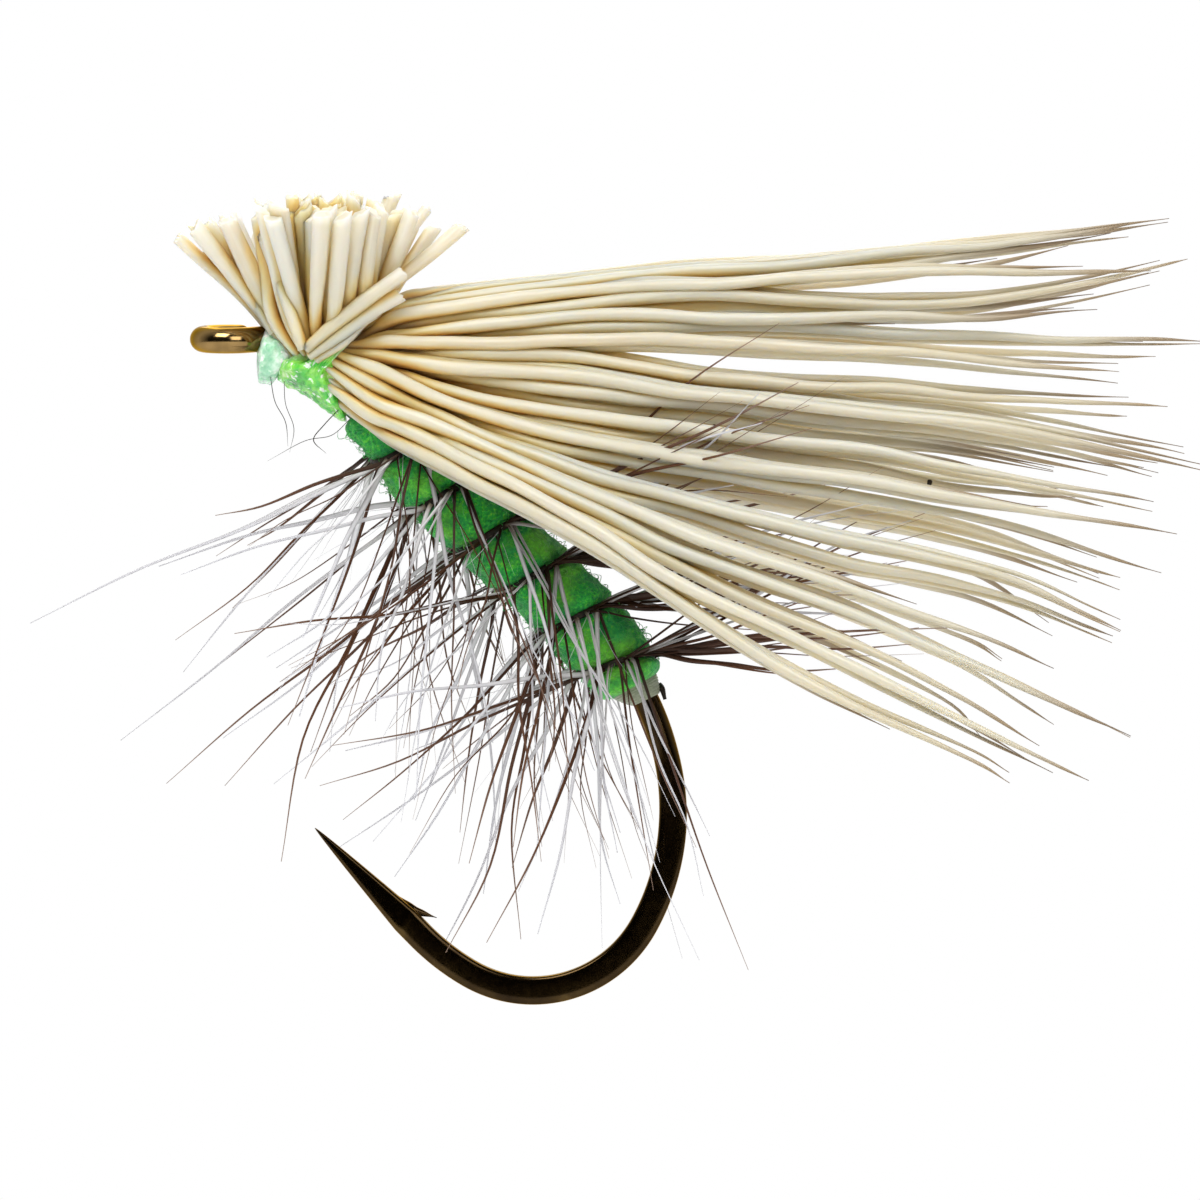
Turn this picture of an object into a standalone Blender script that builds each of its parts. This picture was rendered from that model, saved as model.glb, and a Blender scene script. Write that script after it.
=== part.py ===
"""Hair-wing caddis dry fly, built in the order that it is tied.

A down-eyed, wide-gape hook carries a base of thread, a dubbed body, a feather wound over that body in
open turns, and a bundle of hair lashed behind the eye. Each hair is one piece: its thin end is the wing,
the thread pinches it to the shank, and its thick end stands up in the trimmed head.

Frame: the origin is the centre of the hook's eye, +X runs aft to the wing tips, +Z is up as the fly
floats, and -Y is the fly's left side. Sizes below are in millimetres times MM, so the scene is in metres.
"""

import math

import bmesh
import bpy
import numpy as np
from mathutils import Quaternion, Vector

MM = 0.001

# Hook wire
WIRE_RADIUS = 0.215 * MM
EYE_RADIUS = 0.42 * MM
EYE_END_DEG = 52
EYE_TILT_DEG = 6
NECK_X = 0.63 * MM
# Each bend of the wire from the neck to the point: its length in mm, and how far it turns downwards.
WIRE_BENDS = (
    (0.70, 43.5),
    (4.80, -2),
    (2.15, 7.5),
    (2.45, 31),
    (2.65, 39),
    (3.35, 91),
    (1.05, 15.5),
    (2.50, 0),
)
FORGED_WIDTH = 0.235 * MM
FORGED_THICKNESS = 0.18 * MM
FORGED_FROM = 9.6 * MM
FORGED_FULL = 11.2 * MM
POINT_LENGTH = 2.15 * MM
POINT_RADIUS = 0.012 * MM
SPUR_LENGTH = 0.50 * MM
SPUR_RADIUS = 0.075 * MM

# Thread, body, cement: stations are distances along the wire from the neck.
UNDERWRAP_SPAN = (0.64 * MM, 8.50 * MM)
UNDERWRAP_RADIUS = 0.262 * MM
BODY_SPAN = (2.00 * MM, 8.56 * MM)
BODY_RADIUS = 0.66 * MM
BODY_SAG = 0.10 * MM
REAR_WRAP_SPAN = (8.58 * MM, 8.86 * MM)
REAR_WRAP_RADIUS = 0.40 * MM
CEMENT_SPAN = (0.0 * MM, 0.60 * MM)
CEMENT_RADIUS = 0.27 * MM
CEMENT_SAG = 0.42 * MM
CLEARANCE = 0.012 * MM

# Feather
RIB_PITCH = 1.0 * MM
RIB_START = 2.45 * MM
RIB_TURNS = 6.0
RIB_DEPTH = 0.12 * MM
STEM_RADIUS = 0.045 * MM
BARB_BASE = 0.06 * MM
BARBS_PER_TURN = 17
BARB_REACH = (4.4 * MM, 6.0 * MM)
BARB_SPLAY_DEG = 28
UNDER_WING_REACH = 3.6 * MM

# Hair bundle: the tie is an ellipse round the shank, minus the shank.
TIE_STATION = 1.02 * MM
TIE_LENGTH = 0.30 * MM
COLLAR_BELLY = (0.66 * MM, 1.96 * MM)
TIE_HALF_WIDTH = 0.80 * MM
TIE_HALF_HEIGHT = 0.60 * MM
TIE_LIFT = 0.33 * MM
COLLAR_THICKNESS = 0.075 * MM
PINCHED_RADIUS = 0.070 * MM
HAIR_RADIUS = 0.118 * MM
BUTT_RADIUS = 0.140 * MM
TIP_RADIUS = 0.014 * MM
WING_DROP_DEG = 14
WING_SPREAD_DEG = 24
# The trimmed ends at two heights over the tie, in mm: how far out the bundle has flared by there at its
# middle hairs, and how much more its outermost hairs have.
HEAD_FLARE = ((0.45, 0.80, 0.10), (1.25, 1.12, 0.46))
HEAD_HEIGHT = 2.23 * MM
HEAD_DOME = 0.060 / MM
CRIMP_HEIGHT = 0.05 * MM
CRIMP_LENGTH = 4.3 * MM
# The wing, in mm: where it has flared behind the tie and the heights of its top and bottom there.
FLARE_X = 2.95
FLARE_HEIGHTS = (0.54, -1.63)
# Distances aft at which each hair's height is set.
ROW_X = (5.53, 7.87, 10.20, 12.53)
# Each left hair from the ridge of the wing down, in mm: its height at ROW_X, then its tip's X and height.
WING_ROWS = (
    (0.95, 1.18, 1.35, 1.60, 15.6, 1.97),
    (0.85, 1.07, 1.27, 1.47, 14.9, 1.82),
    (0.70, 0.87, 1.08, 1.35, 14.6, 1.72),
    (0.65, 0.80, 1.00, 1.03, 15.2, 1.03),
    (0.55, 0.67, 0.55, 0.57, 15.8, 1.20),
    (0.45, 0.58, 0.45, 0.47, 14.3, 0.65),
    (0.32, 0.32, 0.28, 0.28, 14.3, 0.37),
    (0.15, 0.17, 0.10, -0.05, 16.1, -0.12),
    (-0.05, -0.12, -0.25, -0.45, 14.6, -0.67),
    (-0.32, -0.68, -0.85, -1.05, 15.4, -1.22),
    (-0.48, -0.82, -1.05, -1.35, 15.7, -1.97),
    (-0.65, -0.98, -1.27, -1.52, 16.0, -2.28),
    (-0.85, -1.15, -1.43, -1.72, 15.0, -2.18),
    (-1.05, -1.35, -1.68, -1.98, 13.6, -2.22),
    (-1.27, -1.55, -1.88, -2.28, 15.1, -2.78),
    (-1.48, -1.80, -2.15, -2.60, 13.9, -2.68),
    (-1.68, -2.05, -2.42, -2.82, 15.4, -3.33),
    (-1.85, -2.25, -2.65, -3.08, 15.2, -3.90),
    (-1.98, -2.45, -2.88, -3.37, 14.6, -3.98),
    (-2.15, -2.77, -3.38, -3.90, 14.5, -4.82),
    (-2.32, -3.02, -3.72, -4.22, 14.4, -4.92),
    (-2.48, -3.35, -4.18, -5.02, 13.4, -5.42),
    (-2.65, -3.68, -4.55, -5.55, 14.6, -6.53),
    (-2.78, -4.02, -5.02, -6.22, 13.2, -6.65),
    (-2.92, -4.27, -5.38, -6.52, 13.9, -7.18),
    (-3.08, -4.65, -6.02, -7.05, 12.7, -7.23),
)
# The row that each right hair keeps level with.
RIGHT_ROWS = (0, 2, 4, 5, 7, 9, 10, 11, 12, 13, 14, 15, 17, 18, 19, 20, 21, 22, 23, 24)

GOLDEN_ANGLE = math.pi * (3 - math.sqrt(5))


# ---------------------------------------------------------------- materials and mesh helpers
def material(name, colour, roughness, metallic=0.0):
    made = bpy.data.materials.new(name)
    made.use_nodes = True
    shader = made.node_tree.nodes["Principled BSDF"]
    shader.inputs["Base Color"].default_value = (*colour, 1.0)
    shader.inputs["Roughness"].default_value = roughness
    shader.inputs["Metallic"].default_value = metallic
    return made


def add_object(name, mesh, finish):
    mesh.materials.append(finish)
    mesh.shade_smooth()
    made = bpy.data.objects.new(name, mesh)
    bpy.context.scene.collection.objects.link(made)
    return made


def tangents(points):
    ahead = [points[min(i + 1, len(points) - 1)] for i in range(len(points))]
    behind = [points[max(i - 1, 0)] for i in range(len(points))]
    return [(a - b).normalized() for a, b in zip(ahead, behind)]


def carried_frames(points, side):
    """(side, up) at each point, carried along the path with no twist from the first side given."""
    along = tangents(points)
    frames = []
    for i, tangent in enumerate(along):
        if i:
            side = along[i - 1].rotation_difference(tangent) @ side
        side = (side - tangent * side.dot(tangent)).normalized()
        frames.append((side, tangent.cross(side)))
    return frames


def bridge(bm, first, second):
    count = len(first)
    for i in range(count):
        j = (i + 1) % count
        bm.faces.new((first[i], first[j], second[j], second[i]))


def closed_tube(name, rings):
    """A mesh through rings of points, with a flat cap at each end."""
    bm = bmesh.new()
    loops = [[bm.verts.new(p) for p in ring] for ring in rings]
    for first, second in zip(loops, loops[1:]):
        bridge(bm, first, second)
    bm.faces.new(reversed(loops[0]))
    bm.faces.new(loops[-1])
    return finished(name, bm)


def hollow_tube(name, outer, inner):
    """A mesh between an outer and an inner set of rings, open at both ends for what it is wound on."""
    bm = bmesh.new()
    out_loops = [[bm.verts.new(p) for p in ring] for ring in outer]
    in_loops = [[bm.verts.new(p) for p in ring] for ring in inner]
    for first, second in zip(out_loops, out_loops[1:]):
        bridge(bm, first, second)
    for first, second in zip(in_loops, in_loops[1:]):
        bridge(bm, second, first)
    bridge(bm, in_loops[0], out_loops[0])
    bridge(bm, out_loops[-1], in_loops[-1])
    return finished(name, bm)


def finished(name, bm):
    bmesh.ops.recalc_face_normals(bm, faces=bm.faces)
    mesh = bpy.data.meshes.new(name)
    bm.to_mesh(mesh)
    bm.free()
    return mesh


# ---------------------------------------------------------------- the wire's path
def wire_path(steps_per_mm=40):
    """Points from the neck to the hook's point, in the plane Y = 0, closely and evenly spaced."""
    x, z, drop = NECK_X, 0.0, 0.0
    points = [Vector((x, 0, z))]
    for length, turn in WIRE_BENDS:
        steps = round(length * steps_per_mm)
        for _ in range(steps):
            middle = math.radians(drop + turn / steps / 2)
            x += length * MM / steps * math.cos(middle)
            z -= length * MM / steps * math.sin(middle)
            drop += turn / steps
            points.append(Vector((x, 0, z)))
    return points


WIRE = wire_path()
WIRE_LENGTH = sum(length for length, _ in WIRE_BENDS) * MM


def on_wire(station):
    """(point, direction aft, normal away from the gape) at a distance along the wire from the neck."""
    place = min(max(station / WIRE_LENGTH, 0), 1) * (len(WIRE) - 1)
    i = min(int(place), len(WIRE) - 2)
    direction = (WIRE[i + 1] - WIRE[i]).normalized()
    return WIRE[i].lerp(WIRE[i + 1], place - i), direction, Vector((-direction.z, 0, direction.x))


def shank_point(station, angle, radius, sag=0.0):
    """A point at an angle round the shank, counted from its upper side towards the fly's right side."""
    centre, _, up = on_wire(station)
    around = up * math.cos(angle) + Vector((0, 1, 0)) * math.sin(angle)
    return centre - up * sag + around * radius


# ---------------------------------------------------------------- hook
def smooth_step(value):
    value = min(max(value, 0), 1)
    return value * value * (3 - 2 * value)


def eye_path():
    """The eye from where the wire's cut end meets the neck, round the ring and into the neck."""
    tilt = Quaternion((1, 0, 0), math.radians(EYE_TILT_DEG))
    points = []
    for degrees in range(EYE_END_DEG, 316, 22):
        angle = math.radians(degrees)
        points.append(tilt @ (Vector((math.cos(angle), math.sin(angle), 0)) * EYE_RADIUS))
    into_neck = Vector((0.47 * MM, -0.09 * MM, -0.01 * MM))
    return [*points, into_neck]


def wire_section(station):
    """(half width in the hook's plane, half thickness across it, squareness) of the wire."""
    forged = smooth_step((station - FORGED_FROM) / (FORGED_FULL - FORGED_FROM))
    width = WIRE_RADIUS + forged * (FORGED_WIDTH - WIRE_RADIUS)
    thickness = WIRE_RADIUS + forged * (FORGED_THICKNESS - WIRE_RADIUS)
    left = (WIRE_LENGTH - station) / POINT_LENGTH
    if left < 1:
        width = POINT_RADIUS + (width - POINT_RADIUS) * left
        thickness = POINT_RADIUS + (thickness - POINT_RADIUS) * left
        forged *= left
    return width, thickness, 2 + 2 * forged


def section_ring(centre, frame, width, thickness, squareness, sides=12):
    side, up = frame
    ring = []
    for k in range(sides):
        angle = (k + 0.5) * math.tau / sides
        across, high = math.cos(angle), math.sin(angle)
        power = 2 / squareness
        ring.append(
            centre
            + up * math.copysign(abs(across) ** power, across) * width
            + side * math.copysign(abs(high) ** power, high) * thickness
        )
    return ring


def make_hook(finish):
    eye = eye_path()
    spacing = 0.36 * MM
    count = round(WIRE_LENGTH / spacing)
    stations = [WIRE_LENGTH * i / count for i in range(count + 1)]
    points = [on_wire(s)[0] for s in reversed(stations)] + eye[::-1]
    sections = [wire_section(s) for s in reversed(stations)] + [wire_section(0)] * len(eye)
    frames = carried_frames(points, Vector((0, 1, 0)))
    rings = [section_ring(p, f, *s) for p, f, s in zip(points, frames, sections)]
    hook = add_object("hook", closed_tube("hook", rings), finish)
    spur = hook_spur(finish)
    union = hook.modifiers.new("spur", "BOOLEAN")
    union.operation = "UNION"
    union.object = spur
    return hook


def hook_spur(finish):
    """The hook's barb, raised from the inner side of the point, leaning back towards the bend."""
    root, direction, up = on_wire(WIRE_LENGTH - POINT_LENGTH - 0.02 * MM)
    inner = up * -1
    path = [
        root + inner * 0.12 * MM + direction * 0.30 * MM,
        root + inner * 0.19 * MM + direction * 0.02 * MM,
        root + inner * 0.235 * MM - direction * (SPUR_LENGTH - 0.30 * MM),
    ]
    radii = [SPUR_RADIUS, SPUR_RADIUS * 0.8, SPUR_RADIUS * 0.12]
    frames = carried_frames(path, Vector((0, 1, 0)))
    rings = [section_ring(p, f, r, r, 2, sides=6) for p, f, r in zip(path, frames, radii)]
    spur = add_object("spur_tool", closed_tube("spur_tool", rings), finish)
    spur.hide_render = True
    spur.display_type = "WIRE"
    return spur


# ---------------------------------------------------------------- sleeves wound on the shank
def sleeve(name, span, bore, outer, finish, sides=14, steps=8, sag=lambda station: 0.0):
    """A sleeve on the shank. outer(station, angle) is its radius, and bore that of what it is wound on."""
    stations = [span[0] + (span[1] - span[0]) * i / steps for i in range(steps + 1)]
    angles = [k * math.tau / sides for k in range(sides)]
    hole = (bore + CLEARANCE) / math.cos(math.pi / sides)
    out_rings = [[shank_point(s, a, outer(s, a), sag(s)) for a in angles] for s in stations]
    in_rings = [[shank_point(s, a, hole) for a in angles] for s in stations]
    return add_object(name, hollow_tube(name, out_rings, in_rings), finish)


def rib_angle(station):
    """Where round the shank the feather's stem lies at a station."""
    return math.radians(60) + (station - RIB_START) / RIB_PITCH * math.tau


def body_fullness(station):
    """The taper of the dubbing: thin behind the head, full from a third of the way, a little less at its end."""
    start, end = BODY_SPAN
    along = (station - start) / (end - start)
    return 0.71 + 0.29 * smooth_step(along / 0.3) - 0.10 * smooth_step((along - 0.86) / 0.14)


def body_sag(station):
    return BODY_SAG * smooth_step((body_fullness(station) - 0.69) / 0.31)


def body_radius(station, angle):
    """The dubbing swells between the turns of the stem and is pulled in under them."""
    fullness = body_fullness(station)
    turn = (rib_angle(station) - angle) / math.tau
    from_rib = abs(turn - round(turn)) * 2
    groove = RIB_DEPTH * (1 - smooth_step(from_rib / 0.55))
    return (BODY_RADIUS - groove) * fullness


def cement_radius(station, angle):
    """A drop that hangs under the neck, rounded off at both ends."""
    start, end = CEMENT_SPAN
    along = (station - start) / (end - start)
    under = (1 - math.cos(angle)) / 2
    hang = min(1.12 * math.sin(math.pi * (0.10 + 0.80 * along)) ** 0.5, 1)
    return CEMENT_RADIUS + CEMENT_SAG * under**2.2 * hang


def make_collar(finish):
    """The lashing: a narrow elliptical band over shank and hair, with more turns under the belly."""
    outer, inner = [], []
    for share in (0, 0.5, 1):
        edge = abs(share - 0.5) * 2
        outer.append(tie_ellipse(share, COLLAR_THICKNESS * (1.3 - 0.5 * edge) + PINCHED_RADIUS))
        inner.append(tie_ellipse(share, PINCHED_RADIUS * 1.25))
    return add_object("thread_collar", hollow_tube("thread_collar", outer, inner), finish)


def tie_ellipse(share, grown, sides=22):
    """A ring round the tie, part of the way from the collar's front edge to its rear edge."""
    ring = []
    for k in range(sides):
        angle = k * math.tau / sides
        belly = smooth_step((-math.cos(angle) - 0.45) / 0.55)
        front = TIE_STATION - TIE_LENGTH / 2
        front += (COLLAR_BELLY[0] - front) * belly
        rear = TIE_STATION + TIE_LENGTH / 2
        rear += (COLLAR_BELLY[1] - rear) * belly
        centre, _, up = on_wire(front + (rear - front) * share)
        rise = TIE_LIFT + math.cos(angle) * (TIE_HALF_HEIGHT + grown)
        aside = math.sin(angle) * (TIE_HALF_WIDTH + grown)
        ring.append(centre + up * rise + Vector((0, 1, 0)) * aside)
    return ring


# ---------------------------------------------------------------- feather
def make_feather(finish):
    """The stem wound in open turns over the body, with a barb standing out at each step along it."""
    count = round(RIB_TURNS * BARBS_PER_TURN)
    turn_length = math.hypot(RIB_PITCH, math.tau * BODY_RADIUS)
    half_base = BARB_BASE / 2 / turn_length * RIB_PITCH
    roots = [RIB_START + RIB_PITCH * (k + 0.5) / BARBS_PER_TURN for k in range(count)]
    stations = [root + step for root in roots for step in (-half_base, half_base)]
    centres = [stem_point(s) for s in stations]
    bm = bmesh.new()
    loops = []
    for centre, station, along in zip(centres, stations, tangents(centres)):
        out = (centre - on_wire(station)[0]).normalized() * STEM_RADIUS
        wide = along.cross(out).normalized() * STEM_RADIUS
        corners = (centre + out + wide, centre + out - wide, centre - out - wide, centre - out + wide)
        loops.append([bm.verts.new(p) for p in corners])
    bm.faces.new(reversed(loops[0]))
    bm.faces.new(loops[-1])
    bases = []
    for i, (first, second) in enumerate(zip(loops, loops[1:])):
        for side in range(4):
            after = (side + 1) % 4
            face = bm.faces.new((first[side], first[after], second[after], second[side]))
            if side == 0 and i % 2 == 0:
                bases.append(face)
    for k, (face, station) in enumerate(zip(bases, roots)):
        grow_barb(bm, face, station, k)
    return add_object("hackle_feather", finished("hackle_feather", bm), finish)


def stem_point(station):
    angle = rib_angle(station)
    over_body = body_radius(station, angle) + 2 * CLEARANCE + STEM_RADIUS * 1.1
    return shank_point(station, angle, over_body, body_sag(station))


def grow_barb(bm, face, station, k):
    """Draws one face of the stem out into a tapering barb. The wing leaves room for few short ones above."""
    angle = rib_angle(station)
    _, direction, up = on_wire(station)
    out = up * math.cos(angle) + Vector((0, 1, 0)) * math.sin(angle)
    reach = BARB_REACH[0] + (BARB_REACH[1] - BARB_REACH[0]) * abs(math.sin(k * 1.7))
    if math.cos(angle) > 0.3:
        if k % 3 or station < 5 * MM:
            return
        reach = UNDER_WING_REACH
    splay = math.radians(BARB_SPLAY_DEG * math.sin(k * GOLDEN_ANGLE))
    aim = (out * math.cos(splay) - direction * math.sin(splay)).normalized()
    base = face.calc_center_median()
    for distance, scale in ((reach * 0.5, 0.45), (reach, 0.4)):
        face = bmesh.ops.extrude_discrete_faces(bm, faces=[face])["faces"][0]
        centre = face.calc_center_median()
        for vert in face.verts:
            vert.co = base + aim * distance + (vert.co - centre) * scale


# ---------------------------------------------------------------- hair
def packed(places, radii, inside, rounds=140):
    """Pushes 2-D places apart until hairs of these radii no longer overlap. inside() keeps them in bounds."""
    places = np.array(places, float)
    wanted = np.add.outer(radii, radii) * 1.04
    np.fill_diagonal(wanted, 0)
    for _ in range(rounds):
        gap = places[:, None] - places[None]
        distance = np.maximum(np.hypot(gap[..., 0], gap[..., 1]), 1e-9)
        push = np.maximum(wanted - distance, 0) / distance
        places += 0.45 * (gap * push[..., None]).sum(1)
        places = inside(places)
    return places


def inside_tie(places):
    """Keeps hairs within the tie's ellipse and off the thread on the shank."""
    half = np.array((TIE_HALF_WIDTH, TIE_HALF_HEIGHT))
    middle = np.array((0, TIE_LIFT))
    from_middle = (places - middle) / half
    size = np.maximum(np.hypot(*from_middle.T), 1e-9)[:, None]
    places = np.where(size > 1, middle + from_middle / size * half, places)
    from_shank = np.maximum(np.hypot(*places.T), 1e-9)[:, None]
    nearest = UNDERWRAP_RADIUS + PINCHED_RADIUS * 1.15
    return np.where(from_shank < nearest, places / from_shank * nearest, places)


def anywhere(places):
    return places


def hair_list():
    """(name, side, row, layer) of every hair. Its layer, from 0 to 1, is how far out it lies."""
    found = []
    for label, side, rows in (("left", -1, range(len(WING_ROWS))), ("right", 1, RIGHT_ROWS)):
        for i, row in enumerate(rows):
            layer = (i * 0.618 + (0.3 if side > 0 else 0.0)) % 1
            layer += (1 - layer) * 0.5 * smooth_step((lowness(row) - 0.7) / 0.2)
            found.append((f"hair_{label}_{i + 1:02d}", side, row, layer))
    return found


def lowness(row):
    """0 at the ridge of the wing and 1 at its lowest hair."""
    return row / (len(WING_ROWS) - 1)


def row_curve(start, side, row, layer):
    """Places along a hair in mm, as lists of x, y and z: out of the tie, flared, then along its row.

    Low hairs lean out to clear the body, and those at the ridge stay near the middle. A right hair lies a
    little over or under its row and ends a little short of it.
    """
    *heights, tip_x, tip_z = WING_ROWS[row]
    low = lowness(row)
    raise_by = 0.07 * math.sin(row * 2.4) if side > 0 else 0.0
    shorten = 0.5 * layer if side > 0 else 0.0
    flare = FLARE_HEIGHTS[0] + (FLARE_HEIGHTS[1] - FLARE_HEIGHTS[0]) * low
    lean = math.tan(math.radians(WING_SPREAD_DEG * (0.26 + 0.74 * low**0.8) * (0.62 + 0.38 * layer)))
    start_x, start_y, start_z = start / MM
    xs = [start_x, FLARE_X, *ROW_X, tip_x - shorten]
    zs = [start_z, *(z + raise_by for z in (flare, *heights, tip_z))]
    settled = 7 - 4 * low**4
    ys = [start_y]
    for x in xs[1:]:
        spread = side * (lean * (x - start_x + 1.2) + 0.45 * low**4)
        ys.append(start_y + (spread - start_y) * smooth_step((x - start_x) / settled))
    return xs, ys, zs


def curve_value(xs, values, x):
    """The value at x on a smooth curve through (xs, values), which runs on straight past its ends."""
    last = len(xs) - 1
    if x <= xs[0]:
        return values[0] + (values[1] - values[0]) / (xs[1] - xs[0]) * (x - xs[0])
    if x >= xs[last]:
        return values[last] + (values[last] - values[last - 1]) / (xs[last] - xs[last - 1]) * (x - xs[last])
    i = max(k for k in range(last) if xs[k] <= x)
    slopes = []
    for k in (i, i + 1):
        before, after = max(k - 1, 0), min(k + 1, last)
        slopes.append((values[after] - values[before]) / (xs[after] - xs[before]))
    gap = xs[i + 1] - xs[i]
    t = (x - xs[i]) / gap
    first, second = 2 * t**3 - 3 * t**2 + 1, t**3 - 2 * t**2 + t
    third, fourth = 3 * t**2 - 2 * t**3, t**3 - t**2
    return values[i] * first + slopes[0] * gap * second + values[i + 1] * third + slopes[1] * gap * fourth


def wing_radius(share):
    """A hair keeps its thickness for half its length and then runs out to a fine tip."""
    return TIP_RADIUS + (HAIR_RADIUS - TIP_RADIUS) * (1 - 0.15 * share) * (1 - share**4)


def cut_height(point):
    """How high the scissors left the butts at this place: a low dome round the tie."""
    centre = on_wire(TIE_STATION)[0]
    return HEAD_HEIGHT - HEAD_DOME * ((point.x - centre.x) ** 2 + point.y**2)


def tie_places(hairs):
    """Where each hair passes through the tie: side by side round the top and flanks of the shank."""
    guesses = []
    for _, side, row, layer in hairs:
        angle = side * math.radians(100 * lowness(row) ** 0.8 + 4)
        radius = (0.45 + 0.40 * layer) * MM
        guesses.append((math.sin(angle) * radius, math.cos(angle) * radius))
    pinched = np.full(len(hairs), PINCHED_RADIUS)
    return packed(guesses, pinched, inside_tie, rounds=400)


def tie_points(places, station):
    centre, _, up = on_wire(station)
    return [centre + Vector((0, 1, 0)) * a + up * b for a, b in places]


def wing_stations(hairs, rear):
    """Each hair's (place, share of its length) on planes across the wing once packed there, and its tip."""
    drop = math.radians(WING_DROP_DEG)
    axis = Vector((math.cos(drop), 0, -math.sin(drop)))
    across = Vector((0, 1, 0))
    up = axis.cross(across).normalized()
    origin = sum(rear, Vector()) / len(rear)
    curves = [row_curve(start, side, row, layer) for start, (_, side, row, layer) in zip(rear, hairs)]
    stations = []
    for distance in (0.8, 1.4, 2.2, 3.2, 4.5, 5.9, 7.4, 9.0, 10.6, 12.3):
        flat, shares = [], []
        for i, (xs, ys, zs) in enumerate(curves):
            z = origin.z / MM
            for _ in range(6):
                x = origin.x / MM + (distance + (z - origin.z / MM) * math.sin(drop)) / math.cos(drop)
                z = curve_value(xs, zs, x)
            offset = Vector((x, curve_value(xs, ys, x), z)) * MM - origin
            share = min((x - xs[0]) / (xs[-1] - xs[0]), 1)
            phase = distance * MM / CRIMP_LENGTH * math.tau + 1.9 * math.sin(i * GOLDEN_ANGLE)
            crimp = CRIMP_HEIGHT * min(distance / 3, 1) * (1 - share) * math.sin(phase)
            flat.append((offset.dot(across) + 0.5 * crimp, offset.dot(up) + crimp))
            shares.append(share)
        flat = packed(flat, np.array([wing_radius(share) if share < 1 else 0 for share in shares]), anywhere)
        plane = origin + axis * distance * MM
        stations.append([(plane + across * a + up * b, share) for (a, b), share in zip(flat, shares)])
    tips = [Vector((xs[-1], ys[-1], zs[-1])) * MM for xs, ys, zs in curves]
    return stations, tips


def butt_stations(places, front):
    """The two places that each trimmed end passes on its way up. They close over the shank and flare out."""
    middle = sum(front, Vector()) / len(front)
    hole = UNDERWRAP_RADIUS + PINCHED_RADIUS
    radii = np.full(len(front), BUTT_RADIUS * 0.90)
    found = []
    for height, flare, edge in HEAD_FLARE:
        flat = []
        for i, (a, b) in enumerate(places):
            gap = math.sqrt(max(hole**2 - b**2, 0))
            aside = math.copysign(max(abs(a) - gap, 0) / (TIE_HALF_WIDTH - gap), a)
            aft = (b - TIE_LIFT) / TIE_HALF_HEIGHT + 0.12 * math.sin(i * GOLDEN_ANGLE)
            outermost = aside**2 + aft**2
            flat.append((np.array((aft, aside)) * (flare + edge * outermost)) * MM)
        flat = packed(flat, radii, anywhere)
        found.append([middle + Vector((x, y, height * MM)) for x, y in flat])
    return found


def cut_end(low, high):
    """Where the scissors cut a hair that passes these two places."""
    aim = (high - low).normalized()
    end = high.copy()
    for _ in range(12):
        end = high + aim * max((cut_height(end) - high.z) / max(aim.z, 0.35), 0.2 * MM)
    return end


def make_hairs(finish):
    hairs = hair_list()
    places = tie_places(hairs)
    front = tie_points(places, TIE_STATION - TIE_LENGTH / 2)
    rear = tie_points(places, TIE_STATION + TIE_LENGTH / 2)
    low, high = butt_stations(places, front)
    stations, tips = wing_stations(hairs, rear)
    for i, (name, *_) in enumerate(hairs):
        points = [cut_end(low[i], high[i]), high[i], low[i], front[i], rear[i]]
        radii = [BUTT_RADIUS, BUTT_RADIUS * 0.94, BUTT_RADIUS * 0.74, PINCHED_RADIUS, PINCHED_RADIUS]
        for station in stations:
            place, share = station[i]
            if 0.03 < share < 0.96:
                points.append(place)
                radii.append(wing_radius(share))
        points.append(tips[i])
        radii.append(TIP_RADIUS)
        add_object(name, hair_mesh(name, points, radii), finish)


def hair_mesh(name, points, radii, sides=5):
    frames = carried_frames(points, Vector((0, 1, 0)))
    rings = [section_ring(p, f, r, r, 2, sides) for p, f, r in zip(points, frames, radii)]
    return closed_tube(name, rings)


# ---------------------------------------------------------------- assembly
def build():
    for old in list(bpy.data.objects):
        bpy.data.objects.remove(old)
    steel = material("bronzed_steel", (0.055, 0.040, 0.022), 0.24, 1.0)
    thread = material("tying_thread", (0.30, 0.52, 0.14), 0.55)
    dubbing = material("green_dubbing", (0.045, 0.36, 0.07), 0.85)
    barb = material("hackle_barb", (0.10, 0.055, 0.035), 0.45)
    hair = material("elk_hair", (0.78, 0.67, 0.46), 0.42)
    resin = material("head_cement", (0.46, 0.78, 0.48), 0.12)
    tail_thread = material("pale_thread", (0.66, 0.66, 0.56), 0.45)
    make_hook(steel)
    sleeve(
        "thread_underwrap", UNDERWRAP_SPAN, WIRE_RADIUS, lambda s, a: UNDERWRAP_RADIUS, thread, sides=12, steps=14
    )
    sleeve("dubbed_body", BODY_SPAN, UNDERWRAP_RADIUS, body_radius, dubbing, sides=14, steps=36, sag=body_sag)
    sleeve(
        "rear_thread_wraps", REAR_WRAP_SPAN, WIRE_RADIUS, lambda s, a: REAR_WRAP_RADIUS, tail_thread, steps=3
    )
    sleeve("head_cement", CEMENT_SPAN, WIRE_RADIUS, cement_radius, resin, steps=6)
    make_collar(thread)
    make_feather(barb)
    make_hairs(hair)


build()
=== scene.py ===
"""Looks of the hair-wing caddis dry fly: every hair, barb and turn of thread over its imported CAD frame.

Frame: the origin is the centre of the hook's eye, +X runs aft to the wing tips, +Z is up as the fly
floats, and -Y is the fly's left side, which the camera sees. Lengths are in metres.
"""

import math

import bmesh
import bpy
import numpy as np
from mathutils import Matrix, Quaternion, Vector, noise
from mathutils.kdtree import KDTree


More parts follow.
